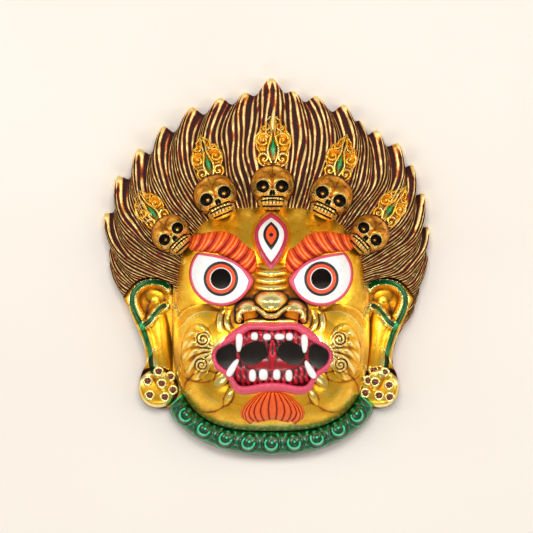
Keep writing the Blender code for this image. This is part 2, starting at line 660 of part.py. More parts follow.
def through_hole(name, x, y, radii, turn, squareness=2.0):
    bpy.ops.mesh.primitive_cylinder_add(vertices=16, radius=1.0, depth=1.0)
    obj = bpy.context.object
    obj.name = name
    for vertex in obj.data.vertices:
        direction = math.atan2(vertex.co.y, vertex.co.x)
        c, s = abs(math.cos(direction)), abs(math.sin(direction))
        reach = (c**squareness + s**squareness) ** (-1 / squareness)
        vertex.co.x = radii[0] * reach * math.cos(direction)
        vertex.co.y = radii[1] * reach * math.sin(direction)
        vertex.co.z *= 0.30
    place = Matrix.Translation((x, y, 0.05)) @ Matrix.Rotation(math.radians(turn), 4, "Z")
    obj.data.transform(place)
    return obj


def centre_on_back(obj):
    """Puts the origin at the middle of the back, and tidies faces that lie in one plane."""
    flat = obj.modifiers.new("flat_faces", "DECIMATE")
    flat.decimate_type = "DISSOLVE"
    flat.angle_limit = math.radians(0.3)
    apply_modifiers(obj)
    corners = [Vector(c) for c in obj.bound_box]
    low = Vector([min(c[k] for c in corners) for k in range(3)])
    high = Vector([max(c[k] for c in corners) for k in range(3)])
    obj.data.transform(Matrix.Translation((-(low.x + high.x) / 2, -(low.y + high.y) / 2, -low.z)))


def gilt():
    material = bpy.data.materials.new("gilt")
    material.use_nodes = True
    shader = material.node_tree.nodes["Principled BSDF"]
    shader.inputs["Base Color"].default_value = GOLD
    shader.inputs["Metallic"].default_value = 0.9
    shader.inputs["Roughness"].default_value = 0.32
    return material


def build():
    for old in list(bpy.data.objects):
        bpy.data.objects.remove(old)
    mask = front()
    combine(mask, face_hollow(), "DIFFERENCE")
    combine(mask, hair_hollow(), "DIFFERENCE")
    for side in (-1, 1):
        pupil = through_hole("pupil", side * EYE_X, EYE_Y, (PUPIL_RADIUS, PUPIL_RADIUS), 0)
        combine(mask, pupil, "DIFFERENCE")
        for x, y, long_half, short_half, turn in GAPS:
            radii = (long_half, short_half)
            gap = through_hole("gap", side * x, y, radii, side * turn, GAP_SQUARENESS)
            combine(mask, gap, "DIFFERENCE")
    centre_on_back(mask)
    mask.data.materials.clear()
    mask.data.materials.append(gilt())
    group = bpy.data.collections.new("wall_mask")
    bpy.context.scene.collection.children.link(group)
    for old in list(mask.users_collection):
        old.objects.unlink(mask)
    group.objects.link(mask)


build()
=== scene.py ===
"""The looks of a cast, gilt and painted wall mask, modelled piece by piece around its solid.

The mask lies on its back. Shapes are worked out in millimetres from the middle line of the face,
Y up to the crown and Z out of the face, and are put in place in metres.
"""

import math

import bmesh
import bpy
import numpy as np
from mathutils import Matrix


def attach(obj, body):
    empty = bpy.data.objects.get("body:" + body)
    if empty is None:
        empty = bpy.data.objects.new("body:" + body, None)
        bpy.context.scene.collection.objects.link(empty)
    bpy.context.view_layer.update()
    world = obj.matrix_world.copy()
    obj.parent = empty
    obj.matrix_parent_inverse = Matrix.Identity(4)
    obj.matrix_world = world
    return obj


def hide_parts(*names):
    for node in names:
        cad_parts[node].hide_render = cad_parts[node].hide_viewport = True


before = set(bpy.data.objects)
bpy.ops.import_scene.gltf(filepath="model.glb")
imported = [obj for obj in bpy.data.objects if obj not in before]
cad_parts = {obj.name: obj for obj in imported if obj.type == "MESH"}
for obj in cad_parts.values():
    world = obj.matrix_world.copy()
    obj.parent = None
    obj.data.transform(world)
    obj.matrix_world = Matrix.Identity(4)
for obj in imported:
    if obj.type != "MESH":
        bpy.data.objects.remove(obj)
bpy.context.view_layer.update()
mask_pieces = []

# The place: a smooth pale table under soft light from large white panels, seen from straight
# above. Nothing here is part of the mask.
MM = 0.001
VIEW_WIDTH = 426.4 * MM
CAMERA_HEIGHT = 6.0
SENSOR_WIDTH = 36.0
TABLE_HALF = 3.0


def linear(hex_code):
    """An sRGB hex colour as linear red, green, blue and alpha."""
    parts = [int(hex_code[i:i + 2], 16) / 255 for i in (1, 3, 5)]
    return [c / 12.92 if c <= 0.04045 else ((c + 0.055) / 1.055) ** 2.4 for c in parts] + [1.0]


def add(tree, kind, settings, inputs):
    """Adds a node with its own settings, and with inputs that are values or other nodes' outputs."""
    node = tree.nodes.new(kind)
    for name, value in settings.items():
        if name == "stops":
            stops = node.color_ramp.elements
            while len(stops) < len(value):
                stops.new(1.0)
            for stop, (place, colour) in zip(stops, value):
                stop.position = place
                stop.color = colour
        else:
            setattr(node, name, value)
    for name, value in inputs.items():
        if isinstance(value, bpy.types.NodeSocket):
            tree.links.new(value, node.inputs[name])
        else:
            node.inputs[name].default_value = value
    return node


def new_material(name):
    material = bpy.data.materials.new(name)
    material.use_nodes = True
    material.node_tree.nodes.clear()
    return material, material.node_tree


def finish_shader(tree, shader):
    add(tree, "ShaderNodeOutputMaterial", {}, {"Surface": shader.outputs["BSDF"]})


# Matt cream card: even, with only a breath of mottling.
card, tree = new_material("matt_card")
place = add(tree, "ShaderNodeTexCoord", {}, {})
mottle = add(tree, "ShaderNodeTexNoise", {}, {"Vector": place.outputs["Object"], "Scale": 3.0})
tint = add(tree, "ShaderNodeValToRGB",
           {"stops": [(0.3, linear("#F5EBE0")), (0.7, linear("#F8F0E6"))]},
           {"Fac": mottle.outputs["Fac"]})
finish_shader(tree, add(tree, "ShaderNodeBsdfPrincipled", {},
                        {"Base Color": tint.outputs["Color"], "Roughness": 0.9,
                         "Specular IOR Level": 0.1}))

bpy.ops.object.select_all(action="DESELECT")
bpy.ops.mesh.primitive_plane_add(size=2 * TABLE_HALF)
table_top = bpy.context.object
table_top.name = "table_top"
table_top.data.materials.append(card)

camera = bpy.data.objects.new("camera", bpy.data.cameras.new("camera"))
bpy.context.scene.collection.objects.link(camera)
camera.location = (0, 0, CAMERA_HEIGHT)
camera.data.sensor_width = SENSOR_WIDTH
camera.data.lens = SENSOR_WIDTH * CAMERA_HEIGHT / VIEW_WIDTH
bpy.context.scene.camera = camera
bpy.context.scene.view_settings.view_transform = "Standard"

# Each panel: its place, its width and height, and its power.
PANELS = (
    ((0.0, 0.50, 1.6), 0.9, 0.55, 14.0),
    ((-1.2, 0.2, 0.8), 0.35, 1.3, 5.5),
    ((1.2, 0.2, 0.8), 0.35, 1.3, 5.5),
    ((0.0, -1.3, 0.9), 1.0, 0.3, 4.0),
)
for number, (spot, width, height, power) in enumerate(PANELS):
    light = bpy.data.lights.new(f"panel_{number}", "AREA")
    light.shape = "RECTANGLE"
    light.size, light.size_y, light.energy = width, height, power
    panel = bpy.data.objects.new(f"panel_{number}", light)
    bpy.context.scene.collection.objects.link(panel)
    panel.location = spot
    toward = -np.array(spot)
    tilt = math.acos(-toward[2] / np.linalg.norm(toward))
    panel.rotation_euler = (tilt, 0, math.atan2(toward[1], toward[0]) - math.pi / 2)

world = bpy.data.worlds.new("studio")
bpy.context.scene.world = world
world.use_nodes = True
world.node_tree.nodes["Background"].inputs["Color"].default_value = linear("#FFFDF8")
world.node_tree.nodes["Background"].inputs["Strength"].default_value = 0.30


# The face: the middle of the casting, a hollow dome about six millimetres thick, brushed with
# bright gilt over an umber ground; the umber in every hollow is partly that ground and partly
# painted shade, and the palest gilt on the crests is partly painted highlight. The gums are cast
# with it, and the pupils and the gaps beside the tongue go right through.
NOSE_LINE = 3.69
WALL = 6.0
FACE_CENTRE_Y = -43.0
FACE_HALF_WIDTH = 79.0
FACE_UP = 96.0
FACE_DOWN = 88.5
FACE_EDGE_HEIGHT = 15.0
FACE_DEPTH = 51.0
PUPIL_RADIUS = 8.2
EYE = (39.8, -9.7)
EYE_RADIUS = 23.8
EYE_DROP = 3.9
LID = (5.9, 0.105, 16.0, 10.2)
EYE_CORNER = (16.8, -10.1)
GAPS = ((14.9, -68.6, 11.0, 8.6, -28.0), (37.0, -70.6, 10.4, 8.2, -79.0))
MOUTH_SHIFT = 1.0
LIP_OUTSIDE = (
    (0.0, -45.7), (12.0, -44.9), (21.3, -45.4), (26.5, -48.1), (32.0, -51.8), (38.0, -55.6),
    (44.1, -60.1), (48.9, -65.2), (50.7, -70.6), (49.0, -76.8), (44.5, -81.9), (38.7, -85.9),
    (34.2, -90.6), (31.9, -95.7), (28.9, -99.4), (23.8, -101.2), (16.5, -100.7), (8.0, -99.0),
    (0.0, -98.4),
)
LIP_INSIDE = (
    (0.0, -50.7), (11.0, -49.6), (18.2, -50.2), (22.8, -53.2), (28.2, -57.2), (33.4, -60.3),
    (39.4, -63.3), (43.6, -66.4), (45.1, -70.8), (43.5, -76.2), (39.4, -80.0), (34.8, -83.2),
    (31.4, -87.4), (29.0, -91.6), (26.4, -94.4), (22.0, -95.2), (15.6, -94.3), (8.0, -92.8),
    (0.0, -92.2),
)


def smooth_line(controls, per_span=8, closed=False):
    """Points on the Catmull-Rom curve through the controls."""
    points = [np.array(p, float) for p in controls]
    ends = (points[-1:], points[:2]) if closed else (points[:1], points[-1:])
    padded = ends[0] + points + ends[1]
    line = []
    for a, b, c, d in zip(padded, padded[1:], padded[2:], padded[3:]):
        for t in np.arange(per_span) / per_span:
            line.append(0.5 * (2 * b + (c - a) * t + (2 * a - 5 * b + 4 * c - d) * t**2
                               + (3 * b - 3 * c + d - a) * t**3))
    if not closed:
        line.append(points[-1])
    return np.array(line)


def both_sides(right_half):
    """A closed outline from the points of its right half, top to bottom."""
    right = smooth_line(right_half)
    return np.vstack([right, right[-2:0:-1] * np.array([-1.0, 1.0])])


def along(line, share):
    """The place at a share of the way along a line's points."""
    at = np.asarray(share) * (len(line) - 1)
    places = np.arange(len(line))
    return np.interp(at, places, line[:, 0]), np.interp(at, places, line[:, 1])


def distance_to(x, y, line):
    """The distance to a line, and the share of the way along it where it is nearest."""
    nearest = np.full(np.shape(x), 1e9)
    share_along = np.zeros(np.shape(x))
    for i, (a, b) in enumerate(zip(line, line[1:])):
        run = b - a
        share = ((x - a[0]) * run[0] + (y - a[1]) * run[1]) / max(float(run @ run), 1e-12)
        share = np.clip(share, 0.0, 1.0)
        gap = np.hypot(x - a[0] - share * run[0], y - a[1] - share * run[1])
        share_along = np.where(gap < nearest, (i + share) / (len(line) - 1), share_along)
        nearest = np.minimum(nearest, gap)
    return nearest, share_along


def inside(x, y, loop):
    """Whether each place lies inside a closed outline."""
    found = np.zeros(np.shape(x), bool)
    for a, b in zip(loop, np.roll(loop, -1, axis=0)):
        rise = b[1] - a[1] if abs(b[1] - a[1]) > 1e-9 else 1e-9
        crosses = (a[1] > y) != (b[1] > y)
        found ^= crosses & (x < a[0] + (y - a[1]) * (b[0] - a[0]) / rise)
    return found


def bump(x, y, centre, radii, turn=0.0, fullness=2.0):
    """A round swelling, 1 in the middle. A low fullness has a flat top and a crisp edge."""
    c, s = math.cos(math.radians(turn)), math.sin(math.radians(turn))
    across = ((x - centre[0]) * c + (y - centre[1]) * s) / radii[0]
    up = ((y - centre[1]) * c - (x - centre[0]) * s) / radii[1]
    return np.clip(1 - across**2 - up**2, 0.0, 1.0) ** fullness


def ridge(distance, half_width, fullness=0.7):
    """The section of a rounded ridge, 1 along its line."""
    return np.clip(1 - (distance / half_width) ** 2, 0.0, 1.0) ** fullness


def face_share(x, y):
    """0 in the middle of the face, 1 at its edge."""
    tall = np.where(y > FACE_CENTRE_Y, FACE_UP, FACE_DOWN)
    return (np.abs(x / FACE_HALF_WIDTH) ** 3 + np.abs((y - FACE_CENTRE_Y) / tall) ** 3) ** (1 / 3)


def dome(x, y):
    round_off = np.clip(1 - face_share(x, y) ** 2.2, 0.0, 1.0) ** 0.55
    return FACE_EDGE_HEIGHT + FACE_DEPTH * round_off


def eye_outside(x, y):
    """How far outside the almond of the eye each place is. It is below 0 inside."""
    side = np.abs(x)
    level, slope, dip, reach = LID
    past_corner = side - EYE_CORNER[0]
    lid = level + slope * past_corner - dip * np.exp(-past_corner / reach)
    return np.maximum(np.hypot(side - EYE[0], y - EYE[1] - EYE_DROP) - EYE_RADIUS, y - lid)


def nose(x, y):
    """The wrinkled bridge, the round tip and the flared wings with the hollow under them."""
    side = np.abs(x)
    down = np.clip((2.0 - y) / 30.0, 0.0, 1.0)
    half = 11.0 + 8.0 * down
    bridge = np.exp(-((x / half) ** 2) * 2.2) * np.clip((6.0 - y) / 8.0, 0.0, 1.0) * (y > -29.0)
    folds = 0.5 + 0.5 * np.cos(2 * math.pi * (y + 5.3 - 0.012 * x**2) / 5.9)
    wrinkles = 1.25 * folds * np.clip((y + 25.0) / 4.0, 0, 1) * np.exp(-((side / 11.5) ** 4))
    rise = bridge * (3.0 + 10.5 * down**1.3) + wrinkles * np.clip((2.0 - y) / 3.0, 0, 1)
    tip = 17.5 * bump(x, y, (0.0, -28.0), (15.5, 12.5), fullness=0.9)
    wing = 11.8 * bump(side, y, (16.5, -35.0), (12.0, 9.6), fullness=0.75)
    rise = np.maximum(rise, np.maximum(tip, wing))
    rim = smooth_line(((0.0, -38.6), (4.0, -38.0), (9.5, -33.8), (15.5, -31.8), (21.0, -33.0),
                       (24.8, -37.0), (25.0, -42.0)))
    distance, share = distance_to(side, y, rim)
    under = 5.5 * bump(side, y, (12.5, -40.0), (12.5, 5.6), fullness=0.6)
    ledge = 3.0 * ridge(y + 43.4, 2.6, 0.8) * np.clip((22.0 - side) / 5.0, 0, 1)
    pit = 4.5 * bump(side, y, (23.6, -43.4), (2.6, 2.2), fullness=0.8)
    lip_roll = (14.6 - 6.6 * share) * ridge(distance, 3.0, 0.6)
    return np.maximum(rise - under, np.maximum(lip_roll, ledge)) - pit


def volute(x, y, centre, radius, turn_way, start, pitch=3.4):
    """A coiled scroll: a raised spiral that winds in to a bead."""
    dx, dy = x - centre[0], y - centre[1]
    reach = np.hypot(dx, dy)
    angle = turn_way * np.arctan2(dy, dx) + start
    coils = radius / pitch
    phase = reach / radius * coils - angle / (2 * math.pi)
    wave = 0.5 + 0.5 * np.cos(2 * math.pi * phase)
    bead = ridge(reach, radius * 0.24, 0.6)
    return np.where(reach < radius, np.maximum(wave, bead), 0.0)


def rosette(side, y):
    """The scrolled whorl on each cheek: two volutes joined by a sheaf of curved strands."""
    body = bump(side, y, (58.4, -68.0), (12.8, 22.5), turn=4, fullness=0.5)
    fan = np.hypot(side - 42.0, y + 68.0)
    angle = np.degrees(np.arctan2(y + 68.0, side - 42.0))
    strands = 0.5 + 0.5 * np.cos(math.radians(1) * angle * 17 + 0.32 * fan)
    top = volute(side, y, (54.0, -57.6), 6.2, 1, 0.5, 3.1)
    foot = volute(side, y, (55.0, -78.0), 5.8, -1, 2.0, 3.1)
    pattern = np.where(np.hypot(side - 54.0, y + 57.6) < 6.2, top, strands)
    pattern = np.where(np.hypot(side - 55.0, y + 78.0) < 5.8, foot, pattern)
    worn = 0.75 + 0.25 * np.sin(1.1 * side + 0.7 * y)
    return body * (1.0 + 2.2 * pattern * worn)


def cheeks(x, y):
    side = np.abs(x)
    ball = 8.6 * bump(side, y, (56.0, -61.0), (27.0, 31.0), fullness=1.0)
    under_eye = -0.9 * ridge(distance_to(side, y, smooth_line(((74, -46), (65, -36.5), (52, -32.5),
                                                               (40, -32.8))))[0], 3.0)
    folds = 0.0
    for line in (((37.4, -33.0), (40.2, -40.0), (40.6, -47.0), (38.0, -53.0)),
                 ((33.4, -33.5), (35.4, -41.0), (33.0, -49.0), (28.0, -52.5))):
        distance, share = distance_to(side, y, smooth_line(line))
        fade = np.clip(share / 0.3, 0, 1) * np.clip((1 - share) / 0.5, 0, 1)
        folds = np.maximum(folds, 1.9 * ridge(distance, 2.6, 0.9) * fade)
    jaw = 5.0 * bump(side, y, (51.0, -99.5), (18.5, 16.5), fullness=0.95)
    teardrop = 4.4 * bump(side, y, (42.6, -92.8), (12.6, 6.4), turn=-52, fullness=0.9)
    little = 2.4 * bump(side, y, (35.0, -103.4), (8.0, 4.6), turn=-62, fullness=1.0)
    return ball + under_eye + folds + rosette(side, y) + np.maximum(np.maximum(jaw, teardrop), little)


def brow_ground(x, y):
    """The gilt flesh that swells under the brows and around the eyes."""
    side = np.abs(x)
    swell = 4.0 * bump(side, y, (40.0, 14.0), (36.0, 20.0), turn=12, fullness=1.6)
    socket = -3.0 * bump(side, y, (39.8, -8.0), (31.0, 28.0), fullness=1.6)
    temple = 1.4 * bump(side, y, (73.0, 6.0), (6.5, 6.0), fullness=1.2)
    forehead = 1.6 * bump(x, y, (0.0, 26.0), (34.0, 22.0), fullness=1.2)
    return swell + socket + temple + forehead


lip_outline = both_sides([((a[0] + b[0]) / 2, (a[1] + b[1]) / 2)
                          for a, b in zip(LIP_OUTSIDE, LIP_INSIDE)]) + np.array([MOUTH_SHIFT, 0.0])


def gums(x, y):
    """Inside the lips: ribbed gums above and below, a tongue, and the web that divides the gaps."""
    mx = x - MOUTH_SHIFT
    ribs = 0.7 * np.abs(np.cos(math.pi * mx / 4.6)) + 0.2 * np.sin(1.3 * mx + 0.8 * y)
    upper = 2.4 * ridge(y + 54.5 + 0.006 * mx**2, 6.0, 0.8)
    lower = 2.8 * ridge(y + 87.5 - 0.004 * mx**2, 7.5, 0.8)
    tongue = 4.2 * bump(mx, y, (0.0, -79.0), (24.0, 9.0), fullness=0.6)
    web = 4.4 * ridge(mx, 2.0 + 0.22 * np.clip(-60 - y, 0, 30), 0.7) * (y < -58) * (y > -82)
    slot = -2.2 * bump(mx, y, (0.0, -64.0), (1.4, 6.5), fullness=0.5)
    return -2.5 + np.maximum(np.maximum(upper, lower) + ribs, np.maximum(tongue, web) + slot)


def face_height(x, y):
    muzzle = 5.5 * bump(x, y, (MOUTH_SHIFT, -72.0), (62.0, 42.0), fullness=1.0)
    skin = dome(x, y) + muzzle + brow_ground(x, y) + nose(x, y) + cheeks(x, y)
    mouth_floor = dome(x, y) + muzzle + gums(x, y)
    return np.where(inside(x, y, lip_outline), mouth_floor, skin)


def blurred(field, reach):
    """Each value averaged with those up to reach cells away."""
    width = 2 * reach + 1
    for axis in (0, 1):
        pads = [(0, 0), (0, 0)]
        pads[axis] = (reach + 1, reach)
        total = np.cumsum(np.pad(field, pads, mode="edge"), axis=axis)
        count = total.shape[axis]
        upper = np.take(total, range(width, count), axis)
        field = (upper - np.take(total, range(count - width), axis)) / width
    return field


def sheet(name, columns, rows, lay_out, near=2, far=7, fine=1.1, broad=0.45):
    """A grid primitive laid out by lay_out(u, v), in millimetres, with its hollows marked.

    The attribute "hollow" is above 0 down in a groove and below 0 on a crest. It compares each
    height with those up to near cells away, and up to far, weighed by fine and broad. Where
    lay_out also gives the carving on its own, that is compared instead of the height. The paints
    turn it into painted shade down in the grooves and painted highlight on the crests.
    """
    bpy.ops.object.select_all(action="DESELECT")
    bpy.ops.mesh.primitive_grid_add(x_subdivisions=columns, y_subdivisions=rows, size=2)
    piece = bpy.context.object
    piece.name = name
    flat = np.empty(3 * (columns + 1) * (rows + 1))
    piece.data.vertices.foreach_get("co", flat)
    u, v = (flat.reshape(-1, 3)[:, :2].T + 1) / 2
    x, y, z, *carving = lay_out(u, v)
    points = np.stack([x + NOSE_LINE, y, z], axis=1) * MM
    piece.data.vertices.foreach_set("co", points.ravel())
    field = (carving or [z])[0].reshape(rows + 1, columns + 1)
    hollow = fine * (blurred(field, near) - field) + broad * (blurred(field, far) - field)
    values = piece.data.attributes.new("hollow", "FLOAT", "POINT")
    values.data.foreach_set("value", np.clip(hollow, -1.0, 1.0).ravel())
    return piece


def rounded(u, v):
    """The grid's square carried to a disc: direction from straight up, and share of the reach."""
    a, b = 2 * u - 1, 2 * v - 1
    across, up = a * np.sqrt(1 - b * b / 2), b * np.sqrt(1 - a * a / 2)
    return np.arctan2(across, up), np.hypot(across, up)


def edited(piece, change):
    mesh = bmesh.new()
    mesh.from_mesh(piece.data)
    change(mesh)
    bmesh.ops.recalc_face_normals(mesh, faces=mesh.faces[:])
    mesh.to_mesh(piece.data)
    mesh.free()


def close_down(piece, floor):
    """Carries a relief's open edge down to a floor, in millimetres, and closes it there."""
    def change(mesh):
        edge = [e for e in mesh.edges if e.is_boundary]
        dropped = bmesh.ops.extrude_edge_only(mesh, edges=edge)["geom"]
        for vertex in [v for v in dropped if isinstance(v, bmesh.types.BMVert)]:
            vertex.co.z = floor * MM
        bmesh.ops.contextual_create(mesh, geom=[e for e in mesh.edges if e.is_boundary])

    edited(piece, change)


def back_on(piece, ground):
    """Closes a low relief behind with a copy of itself that lies on the ground below it."""
    def change(mesh):
        edge = [e for e in mesh.edges if e.is_boundary]
        copied = bmesh.ops.duplicate(mesh, geom=mesh.verts[:] + mesh.edges[:] + mesh.faces[:])
        edge_map = copied["edge_map"]
        for vertex in [v for v in copied["geom"] if isinstance(v, bmesh.types.BMVert)]:
            x, y = vertex.co.x / MM - NOSE_LINE, vertex.co.y / MM
            vertex.co.z = float(ground(np.array(x), np.array(y))) * MM
        bmesh.ops.bridge_loops(mesh, edges=edge + [edge_map[e] for e in edge])

    edited(piece, change)


def join_seams(piece):
    edited(piece, lambda mesh: bmesh.ops.remove_doubles(mesh, verts=mesh.verts[:], dist=2e-6))


def cut(piece, cutter):
    subtract = piece.modifiers.new("cut", "BOOLEAN")
    subtract.operation = "DIFFERENCE"
    subtract.solver = "MANIFOLD"
    subtract.object = cutter
    bpy.context.view_layer.objects.active = piece
    bpy.ops.object.modifier_apply(modifier=subtract.name)


def through_cutter(x, y, long_half, short_half, turn, squareness):
    """A cutter for a rounded hole straight through the casting."""
    bpy.ops.mesh.primitive_cylinder_add(vertices=72, radius=1.0, depth=1.0)
    cutter = bpy.context.object
    for vertex in cutter.data.vertices:
        direction = math.atan2(vertex.co.y, vertex.co.x)
        c, s = abs(math.cos(direction)), abs(math.sin(direction))
        reach = (c**squareness + s**squareness) ** (-1 / squareness) * MM
        vertex.co.x = long_half * reach * math.cos(direction)
        vertex.co.y = short_half * reach * math.sin(direction)
        vertex.co.z *= 0.4
    spot = Matrix.Translation(((x + NOSE_LINE) * MM, y * MM, 0))
    cutter.data.transform(spot @ Matrix.Rotation(math.radians(turn), 4, "Z"))
    return cutter


def face_ring(share):
    """The reach of the face's edge, and of frames inside it, seen from its middle."""
    def reach(direction):
        tall = np.where(np.cos(direction) > 0, FACE_UP, FACE_DOWN)
        across = (np.abs(np.sin(direction)) / FACE_HALF_WIDTH) ** 3
        return share * (across + (np.abs(np.cos(direction)) / tall) ** 3) ** (-1 / 3)

    return reach


def lay_face(u, v):
    direction, share = rounded(u, v)
    reach = share * face_ring(1.0)(direction)
    x, y = reach * np.sin(direction), FACE_CENTRE_Y + reach * np.cos(direction)
    return x, y, face_height(x, y)


def lay_face_hollow(u, v):
    direction, share = rounded(u, v)
    reach = share * face_ring(1 - WALL / FACE_HALF_WIDTH)(direction)
    x, y = reach * np.sin(direction), FACE_CENTRE_Y + reach * np.cos(direction)
    round_off = np.clip(1 - share**2.2, 0.0, 1.0) ** 0.55
    return x, y, FACE_EDGE_HEIGHT + FACE_DEPTH * round_off - WALL


def finish(piece, paint, *zones):
    """Gives a piece its paint and smooth shading, and makes it part of the mask.

    Each zone is another paint and the test of where it lies: the test takes the middle of a face
    in millimetres, and its normal.
    """
    count = len(piece.data.polygons)
    middle, normal = np.empty(3 * count), np.empty(3 * count)
    piece.data.polygons.foreach_get("center", middle)
    piece.data.polygons.foreach_get("normal", normal)
    x, y, z = middle.reshape(-1, 3).T / MM
    chosen = np.zeros(count, np.int32)
    piece.data.materials.clear()
    piece.data.materials.append(paint)
    for number, (zone_paint, test) in enumerate(zones, 1):
        piece.data.materials.append(zone_paint)
        chosen[test(x - NOSE_LINE, y, z, *normal.reshape(-1, 3).T)] = number
    piece.data.polygons.foreach_set("material_index", chosen)
    bpy.ops.object.select_all(action="DESELECT")
    piece.select_set(True)
    bpy.context.view_layer.objects.active = piece
    bpy.ops.object.shade_smooth_by_angle(angle=math.radians(60))
    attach(piece, "root")
    mask_pieces.append(piece)


def toned_paint(name, tones, patch, metallic, roughness, grit=0.25, coat=0.0):
    """Paint over relief. The tones run from the crests, through the body colour, to the hollows.

    The patch is the size in millimetres of the brush's uneven spots, and the grit the depth in
    millimetres of the fine pits that the casting leaves. The dark end of the tones, down in the
    grooves that the attribute "hollow" marks, is painted shade, and the pale end on the crests is
    painted highlight; in the gilt, bronze and copper they are partly also the wash and the rubbed
    gold of the finish.
    """
    material, tree = new_material(name)
    place = add(tree, "ShaderNodeTexCoord", {}, {})
    where = place.outputs["Object"]
    hollow = add(tree, "ShaderNodeAttribute", {"attribute_name": "hollow"}, {})
    spots = add(tree, "ShaderNodeTexNoise", {},
                {"Vector": where, "Scale": 1 / (patch * MM), "Detail": 5.0, "Roughness": 0.62})
    pits = add(tree, "ShaderNodeTexNoise", {},
               {"Vector": where, "Scale": 1 / (1.6 * MM), "Detail": 3.0, "Roughness": 0.7})
    brushed = add(tree, "ShaderNodeMath", {"operation": "MULTIPLY_ADD"},
                  {0: spots.outputs["Fac"], 1: 0.55, 2: 0.225})
    pitted = add(tree, "ShaderNodeMath", {"operation": "MULTIPLY_ADD"},
                 {0: pits.outputs["Fac"], 1: 0.30, 2: -0.15})
    # Painted shade and highlight: the tone goes darker down in the grooves and paler on the crests.
    depth = add(tree, "ShaderNodeMath", {"operation": "MULTIPLY_ADD"},
                {0: hollow.outputs["Fac"], 1: 0.9, 2: brushed.outputs[0]})
    tone = add(tree, "ShaderNodeMath", {"operation": "ADD", "use_clamp": True},
               {0: depth.outputs[0], 1: pitted.outputs[0]})
    colour = add(tree, "ShaderNodeValToRGB",
                 {"stops": [(at, linear(code)) for at, code in tones]}, {"Fac": tone.outputs[0]})
    shine = add(tree, "ShaderNodeMapRange", {},
                {"Value": tone.outputs[0], "From Min": 0.3, "From Max": 0.95,
                 "To Min": roughness, "To Max": min(1.0, roughness + 0.35)})
    leaf = add(tree, "ShaderNodeMapRange", {},
               {"Value": tone.outputs[0], "From Min": 0.65, "From Max": 0.95,
                "To Min": metallic, "To Max": metallic * 0.3})
    relief = add(tree, "ShaderNodeBump", {},
                 {"Strength": 0.6, "Distance": grit * MM, "Height": pits.outputs["Fac"]})
    finish_shader(tree, add(tree, "ShaderNodeBsdfPrincipled", {},
                            {"Base Color": colour.outputs["Color"],
                             "Roughness": shine.outputs["Result"],
                             "Metallic": leaf.outputs["Result"], "Coat Weight": coat,
                             "Coat Roughness": 0.15, "Normal": relief.outputs["Normal"]}))
    return material


# Gilt paint, bronze powder in varnish: bright and brushed, and warmer where it is thin. It is
# umber in the hollows, partly where the antiquing wash has stayed and partly painted shade, and
# its palest tone on the crests is partly painted highlight.
gilt = toned_paint("gilt_paint", ((0.12, "#FFEFA0"), (0.36, "#FFCB3E"), (0.56, "#EFA61C"),
                                  (0.74, "#A0610A"), (0.96, "#2C1402")), 8.0, 0.88, 0.24)
# Crimson paint in the mouth, nearly black between the ribs and in the creases: painted shade.
crimson = toned_paint("crimson_paint", ((0.10, "#D81A34"), (0.36, "#A8081A"), (0.56, "#6A040C"),
                                        (0.76, "#120103")), 4.0, 0.0, 0.26, coat=0.4)
# Casting resin inside and behind, tinted umber in the mass: dull and nearly black. The same
# nearly black lies on the walls of the pupils and of the deep holes in the face as painted shade,
# so that the holes read dark.
resin_and_hole_shade = toned_paint("resin_and_hole_shade", ((0.2, "#2A211B"), (0.6, "#15100D"), (0.9, "#080605")),
                         14.0, 0.0, 0.75)

# The hair is hollow behind as well, one wall under its ground, out to a broad flat rim.
HAIR_CENTRE_Y = -51.0
HAIR_ROOT = 70.0
HAIR_ROOT_HEIGHT = 31.0
HAIR_TIP_HEIGHT = 8.5
HAIRLINE_SHARE = 0.24
HAIR_SIDE = (52.0, 74.0)
HAIR_SIDE_DROP = 0.35
HAIR_HOLLOW = (118.0, 168.0, 64.0)
HAIR_RIM = 24.0


def hair_base(share, angle):
    """The height of the hair's ground. It falls to the flames' tips, and beside the ears."""
    fall = np.clip((share - HAIRLINE_SHARE) / (1 - HAIRLINE_SHARE), 0.0, 1.0) ** 1.25
    beside = np.clip((np.abs(angle) - HAIR_SIDE[0]) / (HAIR_SIDE[1] - HAIR_SIDE[0]), 0.0, 1.0)
    kept = 1 - HAIR_SIDE_DROP * beside**2 * (3 - 2 * beside)
    return HAIR_TIP_HEIGHT + (HAIR_ROOT_HEIGHT - HAIR_TIP_HEIGHT) * (1 - fall) * kept


def lay_hair_hollow(u, v):
    half, up, span = HAIR_HOLLOW
    angle = np.radians(span * (2 * u - 1))
    outer = ((np.abs(np.sin(angle)) / half) ** 2.2 + (np.cos(angle) / up) ** 2.2) ** (-1 / 2.2)
    inner = 0.85 * HAIR_ROOT
    reach = inner + (outer - inner) * v
    share = (reach - HAIR_ROOT) / (outer + HAIR_RIM - HAIR_ROOT)
    z = hair_base(share, np.degrees(angle)) - WALL - 2.1
    return reach * np.sin(angle), HAIR_CENTRE_Y + reach * np.cos(angle), z


face_hollow = sheet("face_hollow", 40, 44, lay_face_hollow)
close_down(face_hollow, -20.0)
hair_hollow = sheet("hair_hollow", 60, 12, lay_hair_hollow)
close_down(hair_hollow, -20.0)

face = sheet("face", 272, 300, lay_face, near=2, far=9, fine=1.3, broad=0.16)
close_down(face, 3.0)
cut(face, face_hollow)
cut(face, hair_hollow)
for side in (-1, 1):
    pupil = through_cutter(side * EYE[0], EYE[1], PUPIL_RADIUS + 0.6, PUPIL_RADIUS + 0.6, 0, 2.0)
    cut(face, pupil)
    bpy.data.objects.remove(pupil)
    for x, y, long_half, short_half, turn in GAPS:
        gap = through_cutter(side * x + MOUTH_SHIFT, y, long_half, short_half, side * turn, 2.4)
        cut(face, gap)
        bpy.data.objects.remove(gap)
